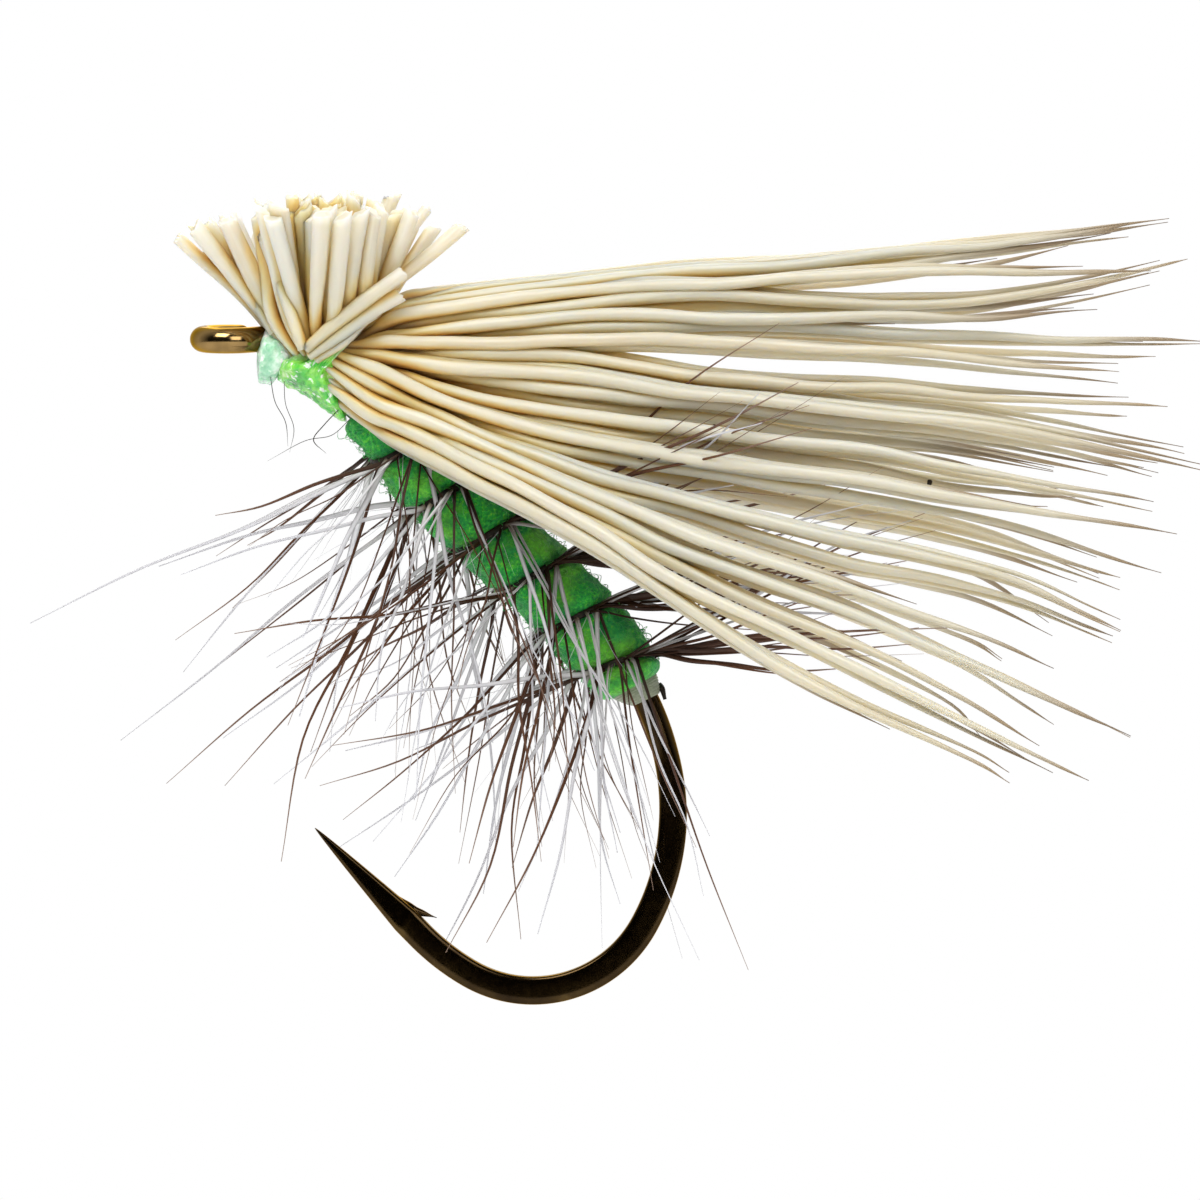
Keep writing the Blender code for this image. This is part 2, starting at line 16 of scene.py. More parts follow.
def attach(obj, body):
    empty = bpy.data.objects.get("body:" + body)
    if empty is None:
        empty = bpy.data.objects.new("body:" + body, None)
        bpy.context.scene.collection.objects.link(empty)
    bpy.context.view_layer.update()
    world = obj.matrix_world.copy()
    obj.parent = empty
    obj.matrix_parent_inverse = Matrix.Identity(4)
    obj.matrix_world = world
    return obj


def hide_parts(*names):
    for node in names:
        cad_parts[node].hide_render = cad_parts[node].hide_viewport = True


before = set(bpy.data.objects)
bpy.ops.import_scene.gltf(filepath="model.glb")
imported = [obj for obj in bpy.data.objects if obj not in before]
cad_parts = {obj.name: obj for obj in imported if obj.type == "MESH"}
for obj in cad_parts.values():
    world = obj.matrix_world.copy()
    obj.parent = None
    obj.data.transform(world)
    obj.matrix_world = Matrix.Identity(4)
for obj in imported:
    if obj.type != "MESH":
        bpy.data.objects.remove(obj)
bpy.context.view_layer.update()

MM = 0.001
GOLDEN_ANGLE = math.pi * (3 - math.sqrt(5))
SIDEWAYS = Vector((0, 1, 0))

# Hook wire, as the CAD bends it
WIRE_RADIUS = 0.215 * MM
EYE_RADIUS = 0.42 * MM
EYE_END_DEG = 52
EYE_TILT_DEG = 6
NECK_X = 0.63 * MM
WIRE_BENDS = (
    (0.70, 43.5),
    (4.80, -2),
    (2.15, 7.5),
    (2.45, 31),
    (2.65, 39),
    (3.35, 91),
    (1.05, 15.5),
    (2.50, 0),
)
FORGED_WIDTH = 0.235 * MM
FORGED_THICKNESS = 0.18 * MM
FORGED_FROM = 9.6 * MM
FORGED_FULL = 11.2 * MM
POINT_LENGTH = 2.15 * MM
POINT_RADIUS = 0.012 * MM
SPUR_LENGTH = 0.50 * MM

# Body, thread and cement, by distance along the wire from the neck
UNDERWRAP_RADIUS = 0.262 * MM
BODY_SPAN = (2.00 * MM, 8.56 * MM)
BODY_RADIUS = 0.66 * MM
BODY_SAG = 0.10 * MM
REAR_WRAP_SPAN = (8.54 * MM, 8.84 * MM)
REAR_WRAP_RADIUS = 0.41 * MM
CEMENT_SPAN = (0.0 * MM, 0.62 * MM)
CEMENT_RADIUS = 0.28 * MM
CEMENT_SAG = 0.46 * MM

# Feather
RIB_PITCH = 1.0 * MM
RIB_START = 2.45 * MM
RIB_TURNS = 6.0
RIB_DEPTH = 0.12 * MM
STEM_RADIUS = 0.065 * MM
BARBS_PER_TURN = 31

# Hair
TIE_STATION = 1.02 * MM
TIE_LENGTH = 0.30 * MM
COLLAR_BELLY = (0.40 * MM, 1.98 * MM)
TIE_HALF_WIDTH = 0.80 * MM
TIE_HALF_HEIGHT = 0.60 * MM
TIE_LIFT = 0.33 * MM
COLLAR_THICKNESS = 0.075 * MM
# Reach of the painted shade that neighbouring hairs put into a hair's colour.
PAINTED_SHADE_REACH = 0.55 * MM
PINCHED_RADIUS = 0.070 * MM
HAIR_RADIUS = 0.118 * MM
BUTT_RADIUS = 0.140 * MM
TIP_RADIUS = 0.014 * MM
WING_DROP_DEG = 14
WING_SPREAD_DEG = 24
HEAD_FLARE = ((0.45, 0.80, 0.10), (1.25, 1.12, 0.46))
HEAD_HEIGHT = 2.23 * MM
HEAD_DOME = 0.060 / MM
CRIMP_HEIGHT = 0.05 * MM
CRIMP_LENGTH = 4.3 * MM
FLARE_X = 2.95
FLARE_HEIGHTS = (0.54, -1.63)
ROW_X = (5.53, 7.87, 10.20, 12.53)
# Each left hair from the ridge of the wing down, in mm: its height at ROW_X, then its tip's X and height.
WING_ROWS = (
    (0.95, 1.18, 1.35, 1.60, 15.6, 1.97),
    (0.85, 1.07, 1.27, 1.47, 14.9, 1.82),
    (0.70, 0.87, 1.08, 1.35, 14.6, 1.72),
    (0.65, 0.80, 1.00, 1.03, 15.2, 1.03),
    (0.55, 0.67, 0.55, 0.57, 15.8, 1.20),
    (0.45, 0.58, 0.45, 0.47, 14.3, 0.65),
    (0.32, 0.32, 0.28, 0.28, 14.3, 0.37),
    (0.15, 0.17, 0.10, -0.05, 16.1, -0.12),
    (-0.05, -0.12, -0.25, -0.45, 14.6, -0.67),
    (-0.32, -0.68, -0.85, -1.05, 15.4, -1.22),
    (-0.48, -0.82, -1.05, -1.35, 15.7, -1.97),
    (-0.65, -0.98, -1.27, -1.52, 16.0, -2.28),
    (-0.85, -1.15, -1.43, -1.72, 15.0, -2.18),
    (-1.05, -1.35, -1.68, -1.98, 13.6, -2.22),
    (-1.27, -1.55, -1.88, -2.28, 15.1, -2.78),
    (-1.48, -1.80, -2.15, -2.60, 13.9, -2.68),
    (-1.68, -2.05, -2.42, -2.82, 15.4, -3.33),
    (-1.85, -2.25, -2.65, -3.08, 15.2, -3.90),
    (-1.98, -2.45, -2.88, -3.37, 14.6, -3.98),
    (-2.15, -2.77, -3.38, -3.90, 14.5, -4.82),
    (-2.32, -3.02, -3.72, -4.22, 14.4, -4.92),
    (-2.48, -3.35, -4.18, -5.02, 13.4, -5.42),
    (-2.65, -3.68, -4.55, -5.55, 14.6, -6.53),
    (-2.78, -4.02, -5.02, -6.22, 13.2, -6.65),
    (-2.92, -4.27, -5.38, -6.52, 13.9, -7.18),
    (-3.08, -4.65, -6.02, -7.05, 12.7, -7.23),
)
# Butts that stand apart from the tuft: four places in mm from the cut end to the tie, and a radius.
STRAY_BUTTS = (
    ((2.98, -1.00, 1.07), (2.45, -1.14, 0.68), (1.87, -1.16, 0.23), (1.35, -0.95, -0.20), 0.135),
    ((2.92, -0.90, 0.70), (2.42, -1.06, 0.42), (1.95, -1.14, 0.06), (1.40, -0.92, -0.30), 0.120),
    ((2.55, -0.80, 0.45), (2.25, -0.98, 0.24), (1.98, -1.06, -0.06), (1.50, -0.85, -0.38), 0.105),
    ((3.95, -0.45, 1.86), (3.37, -0.45, 1.38), (2.70, -0.40, 0.85), (2.00, -0.30, 0.20), 0.115),
    ((-0.86, -0.15, 1.72), (-0.30, -0.20, 1.20), (0.25, -0.25, 0.70), (0.75, -0.30, 0.15), 0.120),
    ((-0.40, -0.45, 1.90), (-0.05, -0.45, 1.45), (0.35, -0.45, 0.85), (0.80, -0.45, 0.10), 0.130),
    ((-0.42, 0.10, 1.48), (-0.10, 0.05, 1.15), (0.25, 0.00, 0.75), (0.65, 0.00, 0.25), 0.125),
    ((2.75, 0.20, 2.42), (2.45, 0.15, 1.75), (2.10, 0.10, 1.10), (1.60, 0.00, 0.30), 0.125),
    ((3.35, -0.10, 2.22), (3.00, -0.15, 1.75), (2.55, -0.20, 1.15), (1.95, -0.20, 0.30), 0.120),
    ((0.62, -0.95, 1.75), (0.80, -1.02, 1.25), (1.02, -1.05, 0.60), (1.30, -0.95, -0.20), 0.140),
)
# Loose fibres under the head: places in mm and a radius.
WHISKERS = (
    ((0.72, -0.30, -0.62), (0.80, -0.36, -1.05), (0.98, -0.42, -1.40), (1.02, -0.45, -1.80), 0.007),
    ((0.95, -0.30, -0.72), (0.98, -0.40, -1.10), (1.12, -0.46, -1.50), (1.05, -0.50, -1.90), 0.006),
    ((1.95, -0.45, -1.10), (1.62, -0.52, -1.45), (1.45, -0.56, -1.70), (1.66, -0.60, -1.92), 0.009),
    ((2.05, -0.50, -1.35), (1.75, -0.60, -1.62), (1.30, -0.70, -1.72), (0.70, -0.80, -2.05), 0.006),
)
SPECK_PLACE = (11.47, 0.0, -2.42)
SPECK_RADIUS = 0.042 * MM
# Where along a whole hair a strand's colours start, and how much of it they cover.
SHAFT_SHARES = {"whole": (0.0, 1.0), "wing": (0.25, 0.75), "butt": (0.0, 0.2)}
# What each strand is called by in scatter(): hairs of the CAD from 0, then these.
COMPANION_KEYS = 200
BUTT_KEYS = 400
RISING_BARBS = range(500, 538)
TRAILING_BARBS = range(540, 572)
CROSSING_BARBS = range(600, 616)
FINE_BARBS = range(700, 790)
UPPER_KEYS = range(500, 600)
THICKER_KEYS = range(500, 700)
# Barbs whose root faces up by more than this cosine have no room under the wing.
ROOM_LIMIT = 0.45
# The row that each right hair keeps level with.
RIGHT_ROWS = (0, 2, 4, 5, 7, 9, 10, 11, 12, 13, 14, 15, 17, 18, 19, 20, 21, 22, 23, 24)


# ---------------------------------------------------------------- numbers
def smooth_step(value):
    value = min(max(value, 0), 1)
    return value * value * (3 - 2 * value)


def scatter(*key):
    """A repeatable number from 0 to 1 for whatever the key names."""
    total = sum(k * w for k, w in zip(key, (12.9898, 78.233, 37.719, 4.581)))
    return math.sin(total) * 43758.5453 % 1


def wobble(point, scale, seed=0.0):
    """Smooth noise from -1 to 1 with features of about this size."""
    return noise.noise(point / scale + Vector((seed, seed * 0.7, -seed)))


def lumps(point, *layers):
    """Unevenness in metres, summed from noises. Each layer is a height and a size in mm, and a seed."""
    return sum(height * wobble(point, size * MM, seed) for height, size, seed in layers) * MM


def strayed(key, first):
    """A repeatable vector within half a unit each way, from three of the key's numbers."""
    return Vector([scatter(key, first + n) - 0.5 for n in range(3)])


# ---------------------------------------------------------------- mesh helpers
def tangents(points):
    ahead = [points[min(i + 1, len(points) - 1)] for i in range(len(points))]
    behind = [points[max(i - 1, 0)] for i in range(len(points))]
    return [(a - b).normalized() for a, b in zip(ahead, behind)]


def carried_frames(points, side):
    """(side, up) at each point, carried along the path with no twist from the first side given."""
    along = tangents(points)
    frames = []
    for i, tangent in enumerate(along):
        if i:
            side = along[i - 1].rotation_difference(tangent) @ side
        side = (side - tangent * side.dot(tangent)).normalized()
        frames.append((side, tangent.cross(side)))
    return frames


def smooth_path(points, values, per_span):
    """Catmull-Rom points through the given ones, with values carried along by the same share."""
    found, carried = [], []
    last = len(points) - 1
    for i in range(last):
        before = points[i - 1] if i else points[0] * 2 - points[1]
        after = points[i + 2] if i + 2 <= last else points[last] * 2 - points[last - 1]
        for step in range(per_span):
            t = step / per_span
            found.append(catmull_rom(before, points[i], points[i + 1], after, t))
            carried.append(values[i] + (values[i + 1] - values[i]) * smooth_step(t))
    return [*found, points[-1]], [*carried, values[-1]]


def catmull_rom(a, b, c, d, t):
    return 0.5 * (
        b * 2 + (c - a) * t + (a * 2 - b * 5 + c * 4 - d) * t * t + (b * 3 - a - c * 3 + d) * t * t * t
    )


def swept(path, radii, per_span, side, wide=1.0, thick=1.0, sides=16):
    """Rings of a tube, round or flattened, along a smooth path through these places."""
    smooth, sizes = smooth_path(path, radii, per_span)
    frames = carried_frames(smooth, side)
    return [section_ring(p, f, r * wide, r * thick, 2, sides) for p, f, r in zip(smooth, frames, sizes)]


def turned(name, finish, sides, steps, skin):
    """A closed surface of steps rings. skin(share, angle) is the point on it."""
    angles = [k * math.tau / sides for k in range(sides)]
    return sheath(name, [[skin(i / steps, angle) for angle in angles] for i in range(steps + 1)], finish)


class Strands:
    """Many closed tubes gathered in one mesh, with what their material reads stored on every corner."""

    def __init__(self):
        self.points, self.faces, self.strand, self.shade = [], [], [], []

    def tube(self, rings, strand, shade):
        """strand(i, k) and shade(i, k) are the vectors stored on point k of ring i."""
        start, sides = len(self.points), len(rings[0])
        for i, ring in enumerate(rings):
            for k, point in enumerate(ring):
                self.points.append(point)
                self.strand.append(strand(i, k))
                self.shade.append(shade(i, k))
        for i in range(len(rings) - 1):
            for k in range(sides):
                a, b = start + i * sides + k, start + i * sides + (k + 1) % sides
                self.faces.append((a, b, b + sides, a + sides))
        self.faces.append(tuple(start + k for k in reversed(range(sides))))
        self.faces.append(tuple(start + (len(rings) - 1) * sides + k for k in range(sides)))

    def piece(self, name, finish):
        mesh = bpy.data.meshes.new(name)
        mesh.from_pydata([tuple(p) for p in self.points], [], self.faces)
        for label, values in (("strand", self.strand), ("shade", self.shade)):
            layer = mesh.attributes.new(label, "FLOAT_VECTOR", "POINT")
            layer.data.foreach_set("vector", np.array(values, np.float32).ravel())
        return add_piece(name, mesh, finish)


def add_piece(name, mesh, finish):
    bm = bmesh.new()
    bm.from_mesh(mesh)
    bmesh.ops.recalc_face_normals(bm, faces=bm.faces)
    bm.to_mesh(mesh)
    bm.free()
    mesh.materials.append(finish)
    mesh.shade_smooth()
    made = bpy.data.objects.new(name, mesh)
    bpy.context.scene.collection.objects.link(made)
    return made


def sheath(name, rings, finish):
    """A closed surface through rings of points."""
    gathered = Strands()
    count = max(len(rings) - 1, 1)
    sides = len(rings[0])
    gathered.tube(rings, lambda i, k: (k / sides, 0, i / count), lambda i, k: (0, 0, 0))
    return gathered.piece(name, finish)


def keep(made, slot, *nodes):
    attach(made, "root")
    if nodes:
        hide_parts(*nodes)
    return made


# ---------------------------------------------------------------- materials
class Nodes:
    """A short way to write a material's nodes."""

    def __init__(self, name):
        self.material = bpy.data.materials.new(name)
        self.material.use_nodes = True
        self.tree = self.material.node_tree
        self.shader = self.tree.nodes["Principled BSDF"]

    def set(self, **values):
        for label, value in values.items():
            self.shader.inputs[label.replace("_", " ")].default_value = value

    def node(self, kind, **settings):
        made = self.tree.nodes.new(kind)
        for label, value in settings.items():
            setattr(made, label, value)
        return made

    def join(self, source, target):
        self.tree.links.new(source, target)

    def attribute(self, name):
        """(x, y, z) outputs of a vector stored on the mesh."""
        found = self.node("ShaderNodeAttribute", attribute_name=name)
        split = self.node("ShaderNodeSeparateXYZ")
        self.join(found.outputs["Vector"], split.inputs[0])
        return split.outputs

    def value(self, operation, first, second=None, clamp=False):
        made = self.node("ShaderNodeMath", operation=operation, use_clamp=clamp)
        for socket, given in zip(made.inputs, (first, second)):
            if given is None:
                continue
            if isinstance(given, (int, float)):
                socket.default_value = given
            else:
                self.join(given, socket)
        return made.outputs[0]

    def ramp(self, source, stops):
        made = self.node("ShaderNodeValToRGB")
        elements = made.color_ramp.elements
        while len(elements) < len(stops):
            elements.new(0.5)
        for element, (position, colour) in zip(elements, stops):
            element.position = position
            element.color = (*colour, 1)
        self.join(source, made.inputs[0])
        return made.outputs[0]

    def mix(self, factor, first, second, blend="MIX"):
        made = self.node("ShaderNodeMix", data_type="RGBA", blend_type=blend)
        for socket, given in ((made.inputs[0], factor), (made.inputs[6], first), (made.inputs[7], second)):
            if isinstance(given, (int, float)):
                socket.default_value = given
            elif isinstance(given, tuple):
                socket.default_value = (*given, 1)
            else:
                self.join(given, socket)
        return made.outputs[2]

    def place(self, scale=(1, 1, 1)):
        """Object coordinates in millimetres, times scale."""
        made = self.node("ShaderNodeMapping")
        made.inputs["Scale"].default_value = [s / MM for s in scale]
        self.join(self.node("ShaderNodeTexCoord").outputs["Object"], made.inputs[0])
        return made.outputs[0]

    def axis(self, where, index):
        """One coordinate of a vector."""
        split = self.node("ShaderNodeSeparateXYZ")
        self.join(where, split.inputs[0])
        return split.outputs[index]

    def scaled(self, source, factor):
        return self.value("MULTIPLY", source, factor)

    def between(self, source, low, span):
        """The source, from 0 to 1, spread over low to low + span."""
        return self.value("ADD", self.scaled(source, span), low)

    def vector(self, x, y, z):
        made = self.node("ShaderNodeCombineXYZ")
        for socket, given in zip(made.inputs, (x, y, z)):
            if isinstance(given, (int, float)):
                socket.default_value = given
            else:
                self.join(given, socket)
        return made.outputs[0]

    def noise(self, where, scale, detail=3, roughness=0.55):
        made = self.node("ShaderNodeTexNoise")
        made.inputs["Scale"].default_value = scale
        made.inputs["Detail"].default_value = detail
        made.inputs["Roughness"].default_value = roughness
        self.join(where, made.inputs["Vector"])
        return made.outputs["Fac"]

    def bump(self, height, strength, distance):
        made = self.node("ShaderNodeBump")
        made.inputs["Strength"].default_value = strength
        made.inputs["Distance"].default_value = distance
        self.join(height, made.inputs["Height"])
        self.join(made.outputs[0], self.shader.inputs["Normal"])

    def colour(self, source):
        self.join(source, self.shader.inputs["Base Color"])

    def roughness(self, source):
        self.join(source, self.shader.inputs["Roughness"])


def hair_finish():
    """Pale hollow hair: cream shafts with painted shade, golden and then brown, where neighbouring hairs
    shut them in, and brown tips.
    """
    n = Nodes("elk_hair")
    n.set(Subsurface_Scale=0.5 * MM, Specular_IOR_Level=0.45)
    n.set(Subsurface_Radius=(1.0, 0.78, 0.48))
    around, seed, along = n.attribute("strand")
    tint, inside_cut, painted_shade = n.attribute("shade")
    shaft = n.ramp(
        along,
        [
            (0.0, (0.74, 0.72, 0.66)),
            (0.07, (0.70, 0.67, 0.58)),
            (0.20, (0.68, 0.60, 0.44)),
            (0.32, (0.69, 0.63, 0.50)),
            (0.55, (0.62, 0.585, 0.49)),
            (0.80, (0.55, 0.53, 0.46)),
            (0.90, (0.50, 0.46, 0.36)),
            (0.955, (0.27, 0.20, 0.12)),
            (1.0, (0.11, 0.065, 0.035)),
        ],
    )
    thick = n.value("MULTIPLY", n.value("SUBTRACT", 0.93, along), 8, clamp=True)
    n.join(n.scaled(thick, 0.9), n.shader.inputs["Subsurface Weight"])
    # Painted shade: the colour turns golden, then brown, where neighbouring hairs shut a hair in. It stands
    # in for shadow and for light bounced between hairs.
    painted_shade_tint = n.ramp(
        painted_shade,
        [
            (0.0, (1.0, 1.0, 1.0)),
            (0.22, (1.0, 0.98, 0.91)),
            (0.42, (1.0, 0.87, 0.58)),
            (0.60, (1.0, 0.74, 0.32)),
            (0.78, (0.88, 0.54, 0.15)),
            (0.92, (0.45, 0.22, 0.04)),
            (1.0, (0.20, 0.08, 0.015)),
        ],
    )
    shaded_shaft = n.mix(1.0, shaft, painted_shade_tint, "MULTIPLY")
    streak = n.noise(n.vector(n.scaled(around, 9), seed, n.scaled(along, 7)), 1.6)
    streaked = n.mix(n.value("MULTIPLY", streak, n.scaled(tint, 0.5)), shaded_shaft, (0.52, 0.38, 0.20))
    n.colour(n.mix(n.scaled(inside_cut, 0.6), streaked, (0.62, 0.56, 0.42)))
    n.roughness(n.between(streak, 0.27, 0.22))
    ridges = n.noise(n.vector(n.scaled(around, 22), seed, n.scaled(along, 16)), 2.0)
    n.bump(ridges, 0.35, 0.006 * MM)
    return n.material


def barb_finish():
    """Feather barbs: near-black at the stem and brown further out, or pale with darker edges."""
    n = Nodes("hackle_barb")
    n.set(Specular_IOR_Level=0.06, Roughness=0.5)
    _, seed, along = n.attribute("strand")
    tint, pale, edge = n.attribute("shade")
    dark = n.ramp(
        along,
        [
            (0.0, (0.004, 0.003, 0.002)),
            (0.25, (0.010, 0.005, 0.003)),
            (0.50, (0.042, 0.015, 0.006)),
            (0.78, (0.11, 0.050, 0.026)),
            (1.0, (0.30, 0.21, 0.16)),
        ],
    )
    light = n.ramp(
        along,
        [
            (0.0, (0.05, 0.025, 0.012)),
            (0.09, (0.34, 0.28, 0.22)),
            (0.22, (0.80, 0.80, 0.80)),
            (0.60, (0.70, 0.70, 0.73)),
            (1.0, (0.62, 0.62, 0.66)),
        ],
    )
    rim = n.value("MULTIPLY", edge, n.value("SUBTRACT", 0.95, n.scaled(along, 0.7)))
    edged = n.mix(n.value("POWER", rim, 1.6), light, (0.035, 0.022, 0.015))
    blotch = n.noise(n.vector(n.scaled(along, 9), seed, 0), 1.0, 2)
    mixed = n.mix(pale, n.mix(n.scaled(blotch, 0.25), dark, (0.12, 0.040, 0.014)), edged)
    n.colour(n.mix(n.scaled(tint, 0.15), mixed, (0.10, 0.045, 0.02)))
    return n.material


def stem_finish():
    """The feather's stem: dark brown with a paler line and fine grooves."""
    n = Nodes("hackle_stem")
    n.set(Roughness=0.45, Specular_IOR_Level=0.25)
    around, _, along = n.attribute("strand")
    grain = n.noise(n.vector(n.scaled(around, 6), 0, n.scaled(along, 260)), 1.5, 4)
    browns = [(0.3, (0.004, 0.003, 0.002)), (0.55, (0.016, 0.009, 0.005)), (0.78, (0.10, 0.065, 0.035))]
    n.colour(n.ramp(grain, browns))
    n.bump(grain, 0.5, 0.01 * MM)
    return n.material


def dubbing_finish():
    """Felted green fur: mottled, with yellow-green and blue-green fibres through it."""
    n = Nodes("green_dubbing")
    n.set(Specular_IOR_Level=0.35, Sheen_Weight=0.25, Sheen_Roughness=0.4)
    n.set(Subsurface_Weight=0.15, Subsurface_Scale=0.15 * MM, Subsurface_Radius=(0.3, 1.0, 0.3))
    where = n.place()
    fine = n.noise(where, 17, 4, 0.65)
    broad = n.noise(where, 2.6, 3, 0.5)
    fibres = n.noise(n.place(), 42, 2, 0.6)
    green = n.ramp(
        fine,
        [
            (0.28, (0.003, 0.12, 0.032)),
            (0.42, (0.010, 0.33, 0.045)),
            (0.54, (0.030, 0.54, 0.050)),
            (0.66, (0.16, 0.70, 0.050)),
            (0.80, (0.50, 0.86, 0.10)),
        ],
    )
    warm = n.noise(n.place(), 1.3, 2)
    green = n.mix(n.ramp(warm, [(0.50, (0, 0, 0)), (0.66, (0.55, 0.55, 0.55))]), green, (0.20, 0.56, 0.03))
    deep = n.mix(n.ramp(broad, [(0.38, (0.6, 0.6, 0.6)), (0.60, (0, 0, 0))]), green, (0.004, 0.20, 0.06))
    n.colour(deep)
    n.roughness(n.between(fibres, 0.55, 0.35))
    n.bump(n.value("ADD", fine, n.scaled(fibres, 0.6)), 0.9, 0.03 * MM)
    return n.material


def steel_finish():
    """Bronzed hook wire: near-black brown, with a painted golden highlight at the eye."""
    n = Nodes("bronzed_steel")
    n.set(Metallic=1.0, Specular_Tint=(1.0, 0.70, 0.28, 1), Coat_Weight=0.08, Coat_Roughness=0.06)
    where = n.place()
    cloud = n.noise(where, 1.4, 3)
    scratch = n.noise(n.place((3, 40, 3)), 3.0, 2)
    browns = [(0.3, (0.018, 0.010, 0.004)), (0.6, (0.045, 0.027, 0.009)), (0.8, (0.11, 0.070, 0.022))]
    bronze = n.ramp(cloud, browns)
    # Painted highlight: a brighter golden tone near the eye stands in for the light that its round wire
    # catches.
    eye_highlight = n.value("MULTIPLY", n.value("SUBTRACT", 0.75, n.axis(where, 0)), 2.5, clamp=True)
    n.colour(n.mix(n.value("MULTIPLY", eye_highlight, cloud), bronze, (0.50, 0.32, 0.12)))
    n.roughness(n.between(scratch, 0.10, 0.12))
    n.bump(n.noise(where, 30, 2), 0.02, 0.004 * MM)
    return n.material


def resin_finish(name, stops, mottle_scale, weight=0.3, top=None):
    """Hard glossy resin with painted glints: white specks in its colour that stand in for glints of light.
    It may turn to the colour top as it climbs the hair.
    """
    n = Nodes(name)
    n.set(Specular_IOR_Level=1.0)
    n.set(Subsurface_Weight=weight, Subsurface_Scale=0.2 * MM, Subsurface_Radius=(0.5, 1.0, 0.5))
    where = n.place()
    mottled = n.ramp(n.noise(where, mottle_scale, 3, 0.6), stops)
    if top:
        climb = n.value("MULTIPLY", n.value("ADD", n.axis(where, 2), 0.42), 3.2, clamp=True)
        mottled = n.mix(climb, mottled, top)
    # Painted glints: white specks mixed into the colour stand in for glints of light on the resin.
    glint_noise = n.noise(n.place((1.0, 1.4, 0.8)), 8.5, 2)
    painted_glints = n.ramp(glint_noise, [(0.60, (0, 0, 0)), (0.67, (0.9, 0.9, 0.9))])
    n.colour(n.mix(painted_glints, mottled, (0.95, 1.0, 0.93)))
    n.roughness(n.between(n.noise(where, 6, 2), 0.02, 0.14))
    n.bump(n.noise(where, 6, 3), 1.0, 0.07 * MM)
    return n.material


def thread_finish(name, light, dark):
    """Fine tying thread, laid in turns round the shank."""
    n = Nodes(name)
    n.set(Specular_IOR_Level=0.5, Sheen_Weight=0.2)
    where = n.place()
    strands = n.noise(n.place((14, 3, 14)), 2.2, 3)
    n.colour(n.mix(strands, dark, light))
    n.roughness(n.between(n.noise(where, 20, 2), 0.35, 0.3))
    n.bump(strands, 0.6, 0.01 * MM)
    return n.material


# ---------------------------------------------------------------- the wire's path
def wire_path(steps_per_mm=60):
    x, z, drop = NECK_X, 0.0, 0.0
    points = [Vector((x, 0, z))]
    for length, turn in WIRE_BENDS:
        steps = round(length * steps_per_mm)
        for _ in range(steps):
            middle = math.radians(drop + turn / steps / 2)
            x += length * MM / steps * math.cos(middle)
            z -= length * MM / steps * math.sin(middle)
            drop += turn / steps
            points.append(Vector((x, 0, z)))
    return points


WIRE = wire_path()
WIRE_LENGTH = sum(length for length, _ in WIRE_BENDS) * MM


def on_wire(station):
    """(point, direction aft, normal away from the gape) at a distance along the wire from the neck."""
    place = min(max(station / WIRE_LENGTH, 0), 1) * (len(WIRE) - 1)
    i = min(int(place), len(WIRE) - 2)
    direction = (WIRE[i + 1] - WIRE[i]).normalized()
    return WIRE[i].lerp(WIRE[i + 1], place - i), direction, Vector((-direction.z, 0, direction.x))


def outward(station, angle):
    """The direction straight out of the shank, at this angle round it from the top."""
    return on_wire(station)[2] * math.cos(angle) + SIDEWAYS * math.sin(angle)


def shank_point(station, angle, radius, sag=0.0):
    centre, _, up = on_wire(station)
    return centre - up * sag + outward(station, angle) * radius


# ---------------------------------------------------------------- hook
def wire_section(station):
    forged = smooth_step((station - FORGED_FROM) / (FORGED_FULL - FORGED_FROM))
    width = WIRE_RADIUS + forged * (FORGED_WIDTH - WIRE_RADIUS)
    thickness = WIRE_RADIUS + forged * (FORGED_THICKNESS - WIRE_RADIUS)
    left = (WIRE_LENGTH - station) / POINT_LENGTH
    if left < 1:
        share = 0.35 * left + 0.65 * math.sqrt(max(left, 0)) * left**0.25
        width = POINT_RADIUS * 0.5 + (width - POINT_RADIUS * 0.5) * share
        thickness = POINT_RADIUS * 0.5 + (thickness - POINT_RADIUS * 0.5) * share
        forged *= left
    return width, thickness, 2 + 4.0 * forged


def section_ring(centre, frame_here, width, thickness, squareness, sides=40):
    side, up = frame_here
    power = 2 / squareness
    ring = []
    for k in range(sides):
        angle = (k + 0.5) * math.tau / sides
        across, high = math.cos(angle), math.sin(angle)
        ring.append(
            centre
            + up * math.copysign(abs(across) ** power, across) * width
            + side * math.copysign(abs(high) ** power, high) * thickness
        )
    return ring


def eye_path():
    tilt = Quaternion((1, 0, 0), math.radians(EYE_TILT_DEG))
    points = []
    for degrees in range(EYE_END_DEG, 316, 6):
        angle = math.radians(degrees)
        points.append(tilt @ (Vector((math.cos(angle), math.sin(angle), 0)) * EYE_RADIUS))
    points.append(tilt @ Vector((0.375 * MM, -0.215 * MM, 0)))
    points.append(Vector((0.47 * MM, -0.09 * MM, -0.01 * MM)))
    points.append(Vector((0.55 * MM, -0.02 * MM, -0.003 * MM)))
    return points


def make_hook(finish):
    eye = eye_path()
    count = round(WIRE_LENGTH / (0.06 * MM))
    stations = [WIRE_LENGTH * i / count for i in range(count + 1)]
    points = [on_wire(s)[0] for s in reversed(stations)] + eye[::-1]
    sections = [wire_section(s) for s in reversed(stations)] + [wire_section(0)] * len(eye)
    for back in range(3):
        share = (1.0, 0.97, 0.86)[2 - back]
        width, thickness, squareness = sections[-1 - back]
        sections[-1 - back] = (width * share, thickness * share, squareness)
    frames = carried_frames(points, SIDEWAYS)
    rings = [section_ring(p, f, *s) for p, f, s in zip(points, frames, sections)]
    hook = sheath("hook_wire", rings, finish)
    spur = make_spur(finish)
    union = hook.modifiers.new("spur", "BOOLEAN")
    union.operation = "UNION"
    union.object = spur
    return hook


